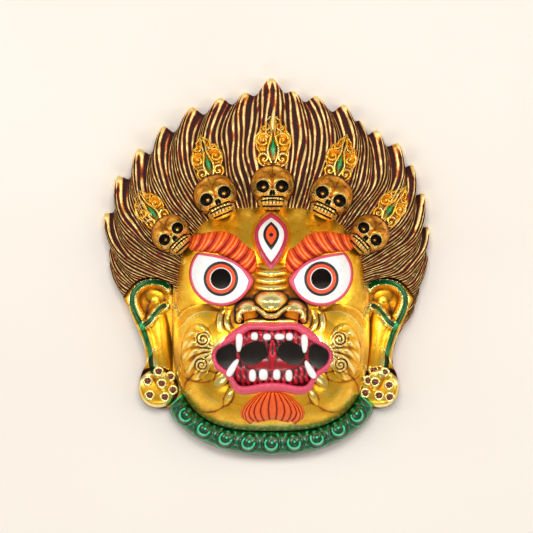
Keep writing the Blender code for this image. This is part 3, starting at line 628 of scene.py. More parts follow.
# Faces that look down take the dark resin of the back; the deep walls of the holes in the face take it
# too, as painted shade.
finish(face, gilt,
       (crimson, lambda x, y, z, nx, ny, nz: inside(x, y, lip_outline)),
       (resin_and_hole_shade, lambda x, y, z, nx, ny, nz: (nz < -0.05) | (face_share(x, y) < 0.9) & (
           z < dome(x, y) - 4.5)))


# The eyes: bulging whites cast with the face and painted by hand, with a ring of black, one of
# orange and a thin white one around each pierced pupil. A rose roll frames each almond.
EYE_BULGE = 7.5
WHITE_INNER = 8.9
IRIS_OUTER = 11.6
BLACK_OUTER = 13.7
LID_ROLL = 1.35

white = toned_paint("white_enamel", ((0.1, "#FFFFFF"), (0.5, "#FBFAF7"), (0.75, "#E2DBD4"),
                                     (0.95, "#8C7F78")), 6.0, 0.0, 0.24, grit=0.12, coat=0.4)
black = toned_paint("black_enamel", ((0.1, "#101012"), (0.5, "#050506"), (0.9, "#010101")),
                    4.0, 0.0, 0.30, grit=0.05)
# Orange and rose: paler on the crests and darker in the partings and creases of the brows, beard, lips
# and rims, which is painted highlight and painted shade.
orange = toned_paint("orange_paint", ((0.04, "#FFA040"), (0.20, "#FF7012"), (0.50, "#FF4E04"),
                                      (0.74, "#D42E02"), (0.97, "#7A1602")), 4.0, 0.0, 0.42,
                     coat=0.1)
rose = toned_paint("rose_paint", ((0.06, "#E8506C"), (0.40, "#CB2A48"), (0.66, "#A01630"),
                                  (0.93, "#400612")), 5.0, 0.0, 0.34, coat=0.2)


def eye_reach(direction):
    """The almond's reach from the pupil. The direction is from straight up, outwards."""
    reach = np.full(np.shape(direction), PUPIL_RADIUS)
    for _ in range(40):
        x, y = EYE[0] + reach * np.sin(direction), EYE[1] + reach * np.cos(direction)
        reach = reach - 0.6 * np.clip(eye_outside(x, y), -4.0, 4.0)
    return reach


def eye_height(x, y):
    ball = EYE_BULGE * bump(np.abs(x), y, EYE, (31.0, 31.0), fullness=1.0)
    return dome(x, y) + brow_ground(x, y) + ball + 1.2


def eye_ball(name, side):
    """Rings of faces from the pupil's wall out to the almond, closed behind."""
    rings = ([PUPIL_RADIUS] * 2 + list(np.linspace(PUPIL_RADIUS, WHITE_INNER, 3)[1:])
             + list(np.linspace(WHITE_INNER, IRIS_OUTER, 6)[1:])
             + list(np.linspace(IRIS_OUTER, BLACK_OUTER, 5)[1:]))
    rows_out = 22
    rows = len(rings) + rows_out + 1

    def lay_out(u, v):
        row = np.round(v * rows).astype(int)
        direction = 2 * math.pi * u
        edge = eye_reach(direction)
        outward = np.clip((row - len(rings) + 1) / rows_out, 0.0, 1.0)
        ring = np.array(rings)[np.minimum(row, len(rings) - 1)]
        ring = np.where(row == rows, PUPIL_RADIUS, ring)
        reach = np.where(row >= rows, ring, ring + (edge - BLACK_OUTER) * outward)
        x, y = EYE[0] + reach * np.sin(direction), EYE[1] + reach * np.cos(direction)
        z = eye_height(x, y)
        z = z + 0.35 * ridge(reach - (WHITE_INNER + IRIS_OUTER) / 2, 1.6, 0.5)
        z = z + 0.5 * ridge(reach - (IRIS_OUTER + BLACK_OUTER) / 2, 1.2, 0.5)
        behind = (row == 0) | (row == rows)
        z = np.where(behind, dome(x, y) - WALL - 1.5, z)
        z = np.where(row == rows - 1, z - 5.0, z)
        return side * x, y, z

    ball = sheet(name, 180, rows, lay_out, fine=0, broad=0)
    join_seams(ball)

    def reach_of(x, y):
        return np.hypot(side * x - EYE[0], y - EYE[1])

    def ring_zone(low, high):
        return lambda x, y, z, nx, ny, nz: (reach_of(x, y) > low) & (reach_of(x, y) < high)

    # The pupils' walls take the nearly black resin as painted shade, as do the faces behind and beside,
    # which are the dark resin of the back.
    finish(ball, white,
           (orange, ring_zone(WHITE_INNER, IRIS_OUTER)),
           (black, ring_zone(IRIS_OUTER, BLACK_OUTER)),
           (resin_and_hole_shade, lambda x, y, z, nx, ny, nz: (
               (nz < 0.05) | (reach_of(x, y) < PUPIL_RADIUS + 0.02))))


def roll(name, loop, half_width, rise, ground, columns, material, rows=12):
    """A half-round roll of paint and resin that follows a closed loop on the face."""
    closed = np.vstack([loop, loop[:1]])
    run = np.roll(closed[:-1], -1, axis=0) - np.roll(closed[:-1], 1, axis=0)
    run = run / np.linalg.norm(run, axis=1)[:, None]
    normals = np.stack([run[:, 1], -run[:, 0]], axis=1)
    normals = np.vstack([normals, normals[:1]])

    def lay_out(u, v):
        x, y = along(closed, u)
        nx, ny = along(normals, u)
        wide = half_width(x, y)
        row = np.round(v * (rows + 1))
        swing = math.pi * np.clip(row / rows, 0, 1)
        across = np.where(row > rows, -1.0, -np.cos(swing))
        x, y = x + nx * wide * across, y + ny * wide * across
        z = ground(x, y) + rise * np.where(row > rows, 0.0, np.sin(swing)) - 0.8
        sink = (row == 0) | (row == rows) | (row > rows)
        return x, y, np.where(sink, z - 1.2, z)

    piece = sheet(name, columns, rows + 1, lay_out)
    join_seams(piece)
    finish(piece, material)
    return piece


for name, side in (("left", -1), ("right", 1)):
    eye_ball(f"{name}_eye", side)
    turn = np.linspace(0, 2 * math.pi, 161)[:-1]
    reach = eye_reach(turn) + 0.4
    rim = np.stack([side * (EYE[0] + reach * np.sin(turn)), EYE[1] + reach * np.cos(turn)], axis=1)
    roll(f"{name}_eye_rim", rim,
         lambda x, y: LID_ROLL + 1.1 * bump(np.abs(x), y, EYE_CORNER, (9.0, 9.0), fullness=1.0),
         2.3, lambda x, y: eye_height(x, y) - 0.8, 320, rose)


# The third eye: a drop standing point down on the brow, nested in rolls of gilt and rose, with
# a white, a black lens, an orange iris and a black dot, all hand painted.
THIRD_EYE_Y = 25.0
FIRST_TOP_RING = 3
# Each ring: its half width, its top and bottom from the eye's middle, and its height.
THIRD_EYE_RINGS = (
    (0.0, 0.0, 0.0, -2.5, 0), (8.0, 10.0, -14.0, -2.5, 0), (16.2, 21.0, -32.0, -2.0, 0),
    (16.2, 21.0, -32.0, 0.0, 0), (14.9, 19.6, -30.2, 3.2, 0), (13.9, 18.5, -28.8, 2.4, 0),
    (13.3, 18.0, -28.2, 4.6, 1), (12.0, 15.6, -24.3, 5.4, 1), (10.6, 14.1, -22.0, 4.6, 1),
    (10.2, 13.7, -21.5, 4.2, 2), (8.4, 12.2, -17.0, 5.6, 2), (6.6, 10.7, -12.4, 6.3, 2),
    (6.3, 10.5, -11.9, 6.8, 3), (5.4, 9.4, -10.2, 7.2, 3), (4.4, 8.2, -8.1, 6.9, 3),
    (4.2, 8.0, -7.9, 6.8, 4), (2.8, 5.2, -5.0, 7.3, 4), (1.9, 2.0, -1.9, 7.4, 4),
    (1.75, 1.75, -1.75, 7.6, 3), (0.6, 0.6, -0.6, 7.9, 3), (0.0, 0.0, 0.0, 7.9, 3),
)


def drop_reach(direction, half, top, bottom):
    """The reach of a drop outline from the third eye's middle."""
    if half == 0.0:
        return np.zeros(np.shape(direction))
    reach = np.full(np.shape(direction), 0.1)
    step = 0.05
    power_up, power_down = (2.2, 1.7) if half > 2 else (2.0, 2.0)
    for _ in range(700):
        x, y = np.abs(reach * np.sin(direction)), reach * np.cos(direction)
        share = np.where(y > 0, y / top, y / bottom)
        edge = half * (1 - np.clip(share, 0, 1) ** np.where(y > 0, power_up, power_down))
        reach = np.where((x < edge) & (share < 1), reach + step, reach)
    return reach


def lay_third_eye(u, v):
    row = np.round(v * (len(THIRD_EYE_RINGS) - 1)).astype(int)
    direction = 2 * math.pi * u
    x, y, z = np.zeros(np.shape(u)), np.zeros(np.shape(u)), np.zeros(np.shape(u))
    for number, (half, top, bottom, height, _) in enumerate(THIRD_EYE_RINGS):
        at = row == number
        reach = drop_reach(direction[at], half, top, bottom)
        x[at], y[at] = reach * np.sin(direction[at]), THIRD_EYE_Y + reach * np.cos(direction[at])
        z[at] = height
    return x, y, dome(x, y) + brow_ground(x, y) + z - 0.6


third_eye = sheet("third_eye", 192, len(THIRD_EYE_RINGS) - 1, lay_third_eye, fine=0, broad=0)
join_seams(third_eye)
ring_materials = [ring[4] for ring in THIRD_EYE_RINGS]
ring_edges = [drop_reach(np.linspace(0, 2 * math.pi, 361), *ring[:3]) for ring in THIRD_EYE_RINGS]


def third_eye_zone(number):
    """Whether a face lies in a ring of one of the paints."""
    def test(x, y, z, nx, ny, nz):
        turn = np.degrees(np.arctan2(x, y - THIRD_EYE_Y)) % 360
        reach = np.hypot(x, y - THIRD_EYE_Y)
        found = np.full(np.shape(x), 0)
        for edge, paint in list(zip(ring_edges, ring_materials))[FIRST_TOP_RING:]:
            found = np.where(reach < np.interp(turn, np.arange(361), edge), paint, found)
        return found == number

    return test


finish(third_eye, gilt, (rose, third_eye_zone(1)), (white, third_eye_zone(2)),
       (black, third_eye_zone(3)), (orange, third_eye_zone(4)))


# The brows: heavy curls of hair cast in one with the face and painted orange, each a row of
# locks that lean outwards, darker in the partings as painted shade and paler on the crests as
# painted highlight.
BROW_TOP = ((11.0, 1.0), (13.1, 12.0), (21.4, 18.8), (28.7, 25.4), (40.6, 28.3), (54.4, 26.9),
            (64.0, 24.4), (67.8, 19.5))
BROW_FOOT = ((11.4, -2.6), (17.0, -5.4), (25.4, 1.0), (34.0, 6.2), (43.6, 9.3), (54.4, 11.0),
             (63.6, 12.6), (67.8, 17.2))
BROW_LOCKS = 8.0
BROW_RISE = 8.8


def brow(name, side):
    top, foot = smooth_line(BROW_TOP), smooth_line(BROW_FOOT)

    def lay_out(u, v):
        top_x, top_y = along(top, u)
        foot_x, foot_y = along(foot, u)
        v = 0.5 - 0.5 * np.cos(math.pi * v)
        x, y = foot_x + (top_x - foot_x) * v, foot_y + (top_y - foot_y) * v
        across = 2 * v - 1
        ends = np.clip(1 - np.abs(2 * u - 1) ** 7, 0, 1) ** 0.5
        phase = u * BROW_LOCKS + 0.42 * across - 0.16 * across**2
        lock = np.abs(np.sin(math.pi * phase)) ** 0.55
        strand = 0.5 + 0.5 * np.cos(2 * math.pi * phase * 3)
        body = np.clip(1 - np.abs(across) ** 2.6, 0, 1) ** 0.5 * ends
        z = dome(x, y) + body * (BROW_RISE - 3.4 + 3.4 * lock + 0.35 * strand) - 0.8
        return side * x, y, z, 3.4 * lock + 0.7 * strand

    piece = sheet(name, 200, 42, lay_out, near=2, far=7, fine=1.2, broad=0.30)
    back_on(piece, lambda x, y: dome(x, y) - 2.5)
    finish(piece, orange)


brow("left_brow", -1)
brow("right_brow", 1)


# The mouth: full lips, a raised roll painted rose, and twelve teeth and tusks painted white
# where they stand out of the gums.
LIP_RISE = 6.0
lip_out = both_sides(LIP_OUTSIDE) + np.array([MOUTH_SHIFT, 0.0])
lip_in = both_sides(LIP_INSIDE) + np.array([MOUTH_SHIFT, 0.0])
LIP_ROWS = 20


def lay_lips(u, v):
    out_x, out_y = along(np.vstack([lip_out, lip_out[:1]]), u)
    in_x, in_y = along(np.vstack([lip_in, lip_in[:1]]), u)
    row = np.round(v * (LIP_ROWS + 1))
    swing = math.pi * np.clip(row / LIP_ROWS, 0, 1)
    across = np.where(row > LIP_ROWS, 0.0, 0.5 - 0.5 * np.cos(swing))
    across = across * 1.16 - 0.08
    x, y = out_x + (in_x - out_x) * across, out_y + (in_y - out_y) * across
    muzzle = 5.5 * bump(x, y, (MOUTH_SHIFT, -72.0), (62.0, 42.0), fullness=1.0)
    height = np.where(row > LIP_ROWS, 0.0, np.sin(swing) ** 0.8)
    creases = 0.16 * np.cos(u * 2 * math.pi * 58)
    z = dome(x, y) + muzzle + (LIP_RISE + creases) * height - 1.0
    sink = (row == 0) | (row >= LIP_ROWS)
    return x, y, np.where(sink, z - 3.5, z)


lips = sheet("lips", 480, LIP_ROWS + 1, lay_lips)
join_seams(lips)
finish(lips, rose)

# Each tooth: its middle, half width and half height. Each tusk: its root, its point and its
# half width at the root and near the point.
TEETH = (
    (-13.2, -55.2, 2.9, 3.3), (-3.2, -55.7, 3.2, 2.7), (6.6, -55.6, 4.0, 2.6),
    (14.4, -55.5, 2.9, 3.1), (-14.8, -86.2, 2.9, 4.9), (-6.2, -85.4, 3.6, 4.7),
    (4.4, -85.4, 3.0, 4.4), (14.0, -86.2, 2.9, 4.7),
)
TUSKS = (
    (-25.0, -52.6, -25.6, -67.6, 3.3, 2.0), (26.2, -53.6, 26.6, -68.4, 3.3, 2.0),
    (-34.6, -86.8, -26.4, -73.2, 3.4, 1.9), (34.4, -88.6, 26.8, -74.6, 3.4, 1.9),
)


def gum_height(x, y):
    muzzle = 5.5 * bump(x, y, (MOUTH_SHIFT, -72.0), (62.0, 42.0), fullness=1.0)
    return dome(x, y) + muzzle


def tooth(x, y, half_width, half_height, turn=0.0, taper=0.0, lift=3.6):
    """A rounded peg that narrows towards its point, its sides squared a little."""
    bpy.ops.object.select_all(action="DESELECT")
    bpy.ops.mesh.primitive_uv_sphere_add(segments=32, ring_count=20, radius=1.0)
    peg = bpy.context.object
    for vertex in peg.data.vertices:
        a, b, c = vertex.co
        narrow = 1 - taper * (0.5 + 0.5 * b)
        squared = (abs(a) ** 2.6 + abs(b) ** 2.6 + abs(c) ** 2.6) ** (-1 / 2.6)
        bend = 0.10 * taper * half_height * b * b
        vertex.co = (a * squared * narrow * half_width + bend, b * squared * half_height,
                     c * squared * narrow * 3.4)
    base = float(gum_height(np.array([x]), np.array([y]))[0])
    spot = Matrix.Translation(((x + NOSE_LINE) * MM, y * MM, (base + lift - 2.6) * MM))
    turned = Matrix.Rotation(math.radians(turn), 4, "Z")
    peg.data.transform(spot @ turned @ Matrix.Scale(MM, 4))
    return peg


def joined(name, parts):
    bpy.ops.object.select_all(action="DESELECT")
    for part in parts:
        part.select_set(True)
    bpy.context.view_layer.objects.active = parts[0]
    bpy.ops.object.join()
    parts[0].name = name
    return parts[0]


pegs = [tooth(x, y, wide, high) for x, y, wide, high in TEETH]
for root_x, root_y, point_x, point_y, wide, narrow in TUSKS:
    length = math.hypot(point_x - root_x, point_y - root_y) / 2
    turn = math.degrees(math.atan2(-(point_x - root_x), point_y - root_y))
    pegs.append(tooth((root_x + point_x) / 2, (root_y + point_y) / 2, wide, length, turn,
                      1 - narrow / wide, 5.2))
teeth = joined("teeth", pegs)
finish(teeth, white)


# The beard: a tuft under the lip, combed into a fan of fine locks with a hooked curl at each
# end, painted orange, paler on the crests, partly dry-brushed gilt and partly painted highlight,
# and darker between the locks as painted shade.
BEARD_X = 1.2
BEARD_TOP = -99.2
BEARD_FOOT = -123.2
BEARD_WIDTHS = ((0.0, 12.0), (0.15, 17.0), (0.4, 22.6), (0.65, 25.8), (0.85, 25.0), (1.0, 21.6))
BEARD_LOCKS = 15


def lay_beard(u, v):
    across = np.sin(0.5 * math.pi * (2 * u - 1))
    down = v
    half = np.interp(down, [p[0] for p in BEARD_WIDTHS], [p[1] for p in BEARD_WIDTHS])
    x = BEARD_X + across * half
    hook = 2.6 * np.exp(-((np.abs(across) - 0.82) / 0.10) ** 2)
    arch = 1.8 * np.cos(math.pi * across * 1.6) * (np.abs(across) < 0.62)
    foot = BEARD_FOOT - hook + arch * 0.6
    top = BEARD_TOP - 2.4 * across**2
    y = top + (foot - top) * down
    phase = BEARD_LOCKS * (u + 0.035 * np.sin(2 * math.pi * u) * np.sin(math.pi * down))
    lock = np.abs(np.sin(math.pi * phase)) ** 0.7
    side = np.clip(1 - np.abs(across) ** 6, 0, 1) ** 0.5
    ends = np.clip(1 - np.abs(2 * down - 1) ** 5, 0, 1) ** 0.5
    z = dome(x, y) + 5.5 * bump(x, y, (MOUTH_SHIFT, -72.0), (62.0, 42.0), fullness=1.0)
    return x, y, z + side * ends * (2.6 + 2.0 * lock) - 0.6, 2.4 * lock


beard = sheet("beard", 200, 48, lay_beard, near=2, far=6, fine=1.3, broad=0.3)
back_on(beard, lambda x, y: dome(x, y) - 2.5)
finish(beard, orange)


# The hair: a fan of strands that leave the brow, sweep towards the crown and end in a row of
# flame tips. It is cast with the flat back and painted bronze over maroon; its gold ridges are
# partly rubbed gold and partly painted highlight, and its dark partings are painted shade.
HAIR_LEAN = 19.0
HAIR_BOW = 12.5
HAIR_CURL = 26.0
HAIR_END = 84.0
STRANDS = 150
STRAND_RISE = 1.9
CROWN_REACH = 201.6
FLAMES = (
    (-75.0, 0.6121), (-67.1, 0.6935), (-63.6, 0.7153), (-61.8, 0.7173),
    (-55.0, 0.8056), (-53.2, 0.7817), (-44.8, 0.8621), (-43.2, 0.8229),
    (-36.1, 0.8914), (-34.5, 0.8467), (-27.8, 0.9152), (-26.1, 0.8745),
    (-19.5, 0.9390), (-17.3, 0.8958), (-12.3, 0.9439), (-9.8, 0.9082),
    (-6.2, 0.9479), (-4.2, 0.9311), (0.1, 1.0000), (3.5, 0.9420),
    (5.3, 0.9524), (8.4, 0.9147), (10.9, 0.9454), (15.6, 0.8998),
    (17.9, 0.9405), (21.9, 0.8938), (23.0, 0.9033), (26.0, 0.8606),
    (27.9, 0.8983), (32.2, 0.8626), (34.2, 0.8968), (39.4, 0.8373),
    (40.4, 0.8626), (47.0, 0.7857), (48.0, 0.8125), (55.6, 0.7242),
    (56.7, 0.7465), (62.6, 0.6905), (64.3, 0.6870), (73.8, 0.6116),
)
LEFT_EDGE = (
    (-131.0, 96.0), (-127.8, 100.3), (-125.1, 108.5), (-122.3, 114.5), (-118.6, 116.6),
    (-114.6, 115.3), (-110.2, 110.8), (-105.5, 104.2), (-101.3, 102.0), (-94.4, 102.7),
    (-87.8, 107.3), (-81.0, 114.3),
)
RIGHT_EDGE = (
    (81.0, 116.2), (87.8, 106.2), (94.4, 101.2), (101.3, 99.5), (105.5, 101.6), (110.2, 108.0),
    (114.6, 112.5), (118.6, 113.5), (122.3, 111.7), (125.1, 105.5), (127.8, 97.5), (131.0, 94.0),
)
# The ears' outline, where the hair stops.
EAR_SHIFT = -1.8
EAR_EDGE = (
    (95.0, -8.6), (104.0, -10.6), (111.0, -16.6), (115.8, -25.0), (111.9, -34.0),
    (106.9, -46.0), (101.9, -58.0), (98.7, -70.0), (98.4, -78.0), (101.9, -86.0),
    (103.7, -94.0), (103.4, -101.0), (100.4, -107.7), (95.2, -111.9), (87.0, -113.4),
    (78.0, -112.4), (70.0, -108.0), (66.0, -95.0), (66.0, -60.0), (68.0, -35.0),
    (76.0, -16.6), (84.0, -10.6),
)
COLLAR_START = 131.0
COLLAR_HALF_WIDTH = 101.6
COLLAR_DOWN = 107.6
COLLAR_SQUARENESS = 2.4
COLLAR_CURLS = 9
FAN_SHARE = 0.82


def eased(at, pairs):
    """A value that eases from each (place, value) pair to the next."""
    places = np.array([p[0] for p in pairs])
    values = np.array([p[1] for p in pairs])
    index = np.clip(np.searchsorted(places, at) - 1, 0, len(places) - 2)
    share = np.clip((at - places[index]) / (places[index + 1] - places[index]), 0.0, 1.0)
    return values[index] + (values[index + 1] - values[index]) * share**2 * (3 - 2 * share)


def collar_reach(x, y):
    direction = np.arctan2(x, y - FACE_CENTRE_Y)
    across = (np.abs(np.sin(direction)) / COLLAR_HALF_WIDTH) ** COLLAR_SQUARENESS
    up = (np.abs(np.cos(direction)) / COLLAR_DOWN) ** COLLAR_SQUARENESS
    return (across + up) ** (-1 / COLLAR_SQUARENESS)


def edge_reach(angle):
    """The mask's edge seen from the hair's centre, at an angle in degrees from the crown."""
    flames = tuple((at, share * CROWN_REACH) for at, share in FLAMES)
    upper = eased(angle, LEFT_EDGE + flames + RIGHT_EDGE)
    turn = np.radians(angle)
    reach = np.full(np.shape(angle), COLLAR_HALF_WIDTH)
    for _ in range(12):
        x, y = reach * np.sin(turn), HAIR_CENTRE_Y + reach * np.cos(turn)
        reach = reach * collar_reach(x, y) / np.hypot(x, y - FACE_CENTRE_Y)
    end = np.clip((np.abs(angle) - COLLAR_START) / 4.0, 0.0, 1.0)
    start = LEFT_EDGE[0][1]
    lower = start + (reach - start) * end**0.5
    return np.where(np.abs(angle) > COLLAR_START, lower, upper)


def swept(angle, share):
    """The angle along a strand: it leaves its root outwards, and bows up towards the crown."""
    left = 1 - np.clip(share, 0.0, 1.0)
    fade = np.clip((104.0 - np.abs(angle)) / 28.0, 0.0, 1.0) * np.tanh(angle / 12.0)
    curl = HAIR_CURL * left * (1 - left) ** 2
    ripple = 1.2 * np.sin(15 * left + 0.35 * angle) * left * (1 - left)
    return angle + fade * (HAIR_LEAN * left - HAIR_BOW * left**2 + curl) + ripple


flame_tips = [(at, 1.0 if share > max(before[1], after[1]) else 0.0)
              for before, (at, share), after in zip(FLAMES, FLAMES[1:], FLAMES[2:])]
HAIR_TOP_ROWS = 92
HAIR_ROWS = HAIR_TOP_ROWS + 3


def lay_hair(u, v):
    fan = np.clip(u / FAN_SHARE, 0.0, 1.0)
    round_back = np.clip((u - FAN_SHARE) / (1 - FAN_SHARE), 0.0, 1.0)
    angle = -HAIR_END + 2 * HAIR_END * fan + (360 - 2 * HAIR_END) * round_back
    angle = np.where(angle > 180, angle - 360, angle)
    edge = edge_reach(angle) - np.where(np.abs(angle) > HAIR_END - 0.1, 0.9, 0.0)
    turn = np.radians(angle)
    inner = np.full(np.shape(u), 60.0)
    for _ in range(30):
        x, y = inner * np.sin(turn), HAIR_CENTRE_Y + inner * np.cos(turn)
        inner = inner * 0.90 / face_share(x, y)
    row = np.round(v * HAIR_ROWS)
    out = np.clip((row - 1) / HAIR_TOP_ROWS, 0.0, 1.0)
    out = np.where(row == HAIR_ROWS, 0.0, out)
    reach = inner + (edge - inner) * out
    share = (reach - HAIR_ROOT) / (edge - HAIR_ROOT)
    turn = np.radians(swept(angle, share))
    x, y = reach * np.sin(turn), HAIR_CENTRE_Y + reach * np.cos(turn)
    strand = fan * STRANDS
    strand = strand + 0.16 * np.sin(1.7 * strand + 9 * share) + 0.14 * np.sin(
        0.61 * strand - 17 * share)
    number = np.floor(strand)
    crest = 1 - np.abs(2 * (strand - number) - 1)
    worn = np.sin(number * 2.399 + 9 * share + 2.1 * np.sin(number * 1.3 + 15 * share))
    worn = 0.7 * worn + 0.6 * np.sin(number * 4.1 - 31 * share)
    relief = STRAND_RISE * (0.80 + 0.42 * worn) * crest**1.9 - 0.55
    outer = np.clip((share - 0.70) / 0.30, 0, 1)
    tip = eased(angle, flame_tips) * outer
    relief = relief * (1 - 0.45 * outer**3) + 2.0 * tip - 1.2 * outer**2
    knob = 1.6 * eased(angle, flame_tips) ** 2 * np.clip((share - 0.93) / 0.05, 0, 1)
    root = 1.2 * np.clip((0.24 - share) / 0.04, 0, 1)
    ground = hair_base(share, angle) + relief + knob - root
    loop = smooth_line(EAR_EDGE, closed=True)
    under_ear = inside(np.abs(x - EAR_SHIFT) + 0.5, y, loop)
    hairy = (np.abs(angle) < HAIR_END) & (round_back <= 0) & ~under_ear
    z = np.where(hairy, ground, HAIR_TIP_HEIGHT)
    z = z - 1.6 * np.clip((out - 0.985) / 0.015, 0, 1)
    z = np.where((row == 0) | (row >= HAIR_ROWS - 1), 0.0, z)
    # The tones weigh the knobs more, so the flame tips take the crests' gold: partly painted highlight.
    return x, y, z, np.where(hairy, relief + 1.4 * knob, -0.55)


# Bronze over maroon: nearly black in the partings, which is painted shade, copper on the flanks,
# and gold on the ridges, partly rubbed gold and partly painted highlight.
hair_bronze = toned_paint("hair_bronze", ((0.02, "#FFE596"), (0.16, "#EDA436"), (0.32, "#B8521A"),
                                          (0.54, "#74200A"), (0.80, "#340A04")), 2.0, 0.5, 0.42,
                          grit=0.5)

hair = sheet("hair", 960, HAIR_ROWS, lay_hair, near=2, far=5, fine=1.2, broad=0.5)
join_seams(hair)
cut(hair, face_hollow)
cut(hair, hair_hollow)
finish(hair, hair_bronze, (resin_and_hole_shade, lambda x, y, z, nx, ny, nz: nz < -0.3))


# The ears: long lobes cast with the face, a gilt shell with a groove painted emerald along its
# helix and a short branch, each ending in a round pendant set with red studs.
EAR_CENTRE = (88.0, -60.0)
EAR_HEIGHT = 15.0
EAR_GROOVE = (
    (80.6, -15.6), (84.5, -13.2), (90.0, -12.2), (97.0, -12.6), (103.4, -15.6), (108.0, -21.0),
    (109.2, -28.0), (107.2, -36.0), (103.6, -43.4), (100.0, -50.9), (96.8, -60.1), (94.4, -69.7),
    (93.6, -79.0), (92.6, -84.0),
)
EAR_FOLD = ((100.4, -47.2), (95.6, -44.0), (91.4, -38.0), (87.4, -33.4), (83.2, -31.2))
GROOVE_HALF = 1.9
PENDANT = (89.4, -97.4)
PENDANT_RADIUS = 15.6

# Emerald: paler on the crests and darker down the grooves, painted highlight and painted shade.
emerald = toned_paint("emerald_enamel", ((0.10, "#20C878"), (0.42, "#04883E"), (0.68, "#025C28"),
                                         (0.95, "#012A12")), 4.0, 0.0, 0.26, coat=0.4)


def groove_distance(x, y):
    helix, _ = distance_to(x, y, smooth_line(EAR_GROOVE))
    fold, _ = distance_to(x, y, smooth_line(EAR_FOLD))
    return np.minimum(helix, fold * 1.05)


def ear_height(x, y):
    z = EAR_HEIGHT + 6.5 * bump(x, y, (87.5, -62.0), (10.0, 38.0), turn=-6, fullness=0.9)
    z = z - 5.0 * bump(x, y, (92.5, -27.0), (13.0, 13.0), fullness=0.8)
    z = z + 2.2 * bump(x, y, (91.0, -24.0), (8.0, 6.0), turn=30, fullness=1.0)
    helix, share = distance_to(x, y, smooth_line(EAR_GROOVE))
    z = z + 3.6 * ridge(helix, 6.6, 1.0) * (1 - 0.45 * share)
    fold, _ = distance_to(x, y, smooth_line(EAR_FOLD))
    z = z + 2.4 * ridge(fold, 4.6, 1.0)
    z = z - 2.3 * ridge(groove_distance(x, y), GROOVE_HALF, 0.5)
    cleft = ridge(np.hypot(x - PENDANT[0], y - PENDANT[1]) - PENDANT_RADIUS - 0.6, 1.6, 0.7)
    z = z - 1.6 * cleft * (y < -80)
    return z + 4.6 * bump(x, y, PENDANT, (PENDANT_RADIUS, PENDANT_RADIUS), fullness=0.40)


def ear(name, side):
    loop = smooth_line(EAR_EDGE, closed=True)
    turns = np.arctan2(loop[:, 0] - EAR_CENTRE[0], loop[:, 1] - EAR_CENTRE[1])
    order = np.argsort(turns)
    reaches = np.hypot(loop[:, 0] - EAR_CENTRE[0], loop[:, 1] - EAR_CENTRE[1])[order]

    def lay_out(u, v):
        direction, share = rounded(u, v)
        reach = share * np.interp(direction, turns[order], reaches, period=2 * math.pi)
        x = EAR_CENTRE[0] + reach * np.sin(direction)
        y = EAR_CENTRE[1] + reach * np.cos(direction)
        z = ear_height(x, y) - 6.0 * np.clip(share, 0, 1) ** 26
        return side * x + EAR_SHIFT, y, z

    piece = sheet(name, 104, 206, lay_out, near=2, far=5, fine=0.35, broad=0.25)
    close_down(piece, 1.5)
    cut(piece, face_hollow)
    finish(piece, gilt,
           (emerald, lambda x, y, z, nx, ny, nz: (
               groove_distance(side * (x - EAR_SHIFT), y) < GROOVE_HALF * 0.92) & (nz > 0)),
           (resin_and_hole_shade, lambda x, y, z, nx, ny, nz: nz < -0.3))


ear("left_ear", -1)
ear("right_ear", 1)

# The studs: glass beads of a dark wine red, each sunk in a small gilt collet on the pendants.
STUDS = {
    "left": ((-89.6, -83.7), (-98.4, -91.3), (-87.2, -93.3), (-96.8, -102.5), (-84.8, -104.1),
             (-80.4, -87.7), (-78.4, -98.5)),
    "right": ((81.6, -82.5), (90.4, -84.5), (77.6, -90.9), (82.8, -92.1), (94.0, -94.5),
              (75.2, -100.9), (86.0, -102.9), (94.6, -104.2)),
}
COLLET_RADIUS = 3.15
COLLET_WIRE = 1.05
BEAD_RADIUS = 2.1
garnet = toned_paint("garnet_glass", ((0.1, "#B01830"), (0.45, "#6E0A18"), (0.9, "#20030A")),
                     3.0, 0.0, 0.10, grit=0.02, coat=0.8)
for name, places in STUDS.items():
    collets, beads = [], []
    for x, y in places:
        height = float(ear_height(np.array([abs(x - EAR_SHIFT)]), np.array([y]))[0])
        spot = ((x + NOSE_LINE) * MM, y * MM, (height + 0.1) * MM)
        bpy.ops.mesh.primitive_torus_add(location=spot, major_radius=COLLET_RADIUS * MM,
                                         minor_radius=COLLET_WIRE * MM, major_segments=40,
                                         minor_segments=14)
        collets.append(bpy.context.object)
        # Marked as a crest all over, so the gilt collets take its palest tone: partly painted highlight.
        crest = collets[-1].data.attributes.new("hollow", "FLOAT", "POINT")
        crest.data.foreach_set("value", [-0.4] * len(crest.data))
        bpy.ops.mesh.primitive_uv_sphere_add(location=spot, radius=BEAD_RADIUS * MM, segments=28,
                                             ring_count=16)
        beads.append(bpy.context.object)
    for kind, parts, material in (("collets", collets, gilt), ("studs", beads, garnet)):
        for part in parts:
            part.data.transform(Matrix.Translation(part.location))
            part.location = (0, 0, 0)
        finish(joined(f"{name}_{kind}", parts), material)


# The collar: a rolled band under the chin, enamelled green, with a row of curls like clouds
# raised on it, paler green on their crests as painted highlight.
COLLAR_SPAN = 50.5
COLLAR_EDGE_HEIGHT = 8.0
COLLAR_RISE = 14.0
CURL_RADIUS = 5.6
COLLAR_TOP_ROWS = 64
COLLAR_ROWS = COLLAR_TOP_ROWS


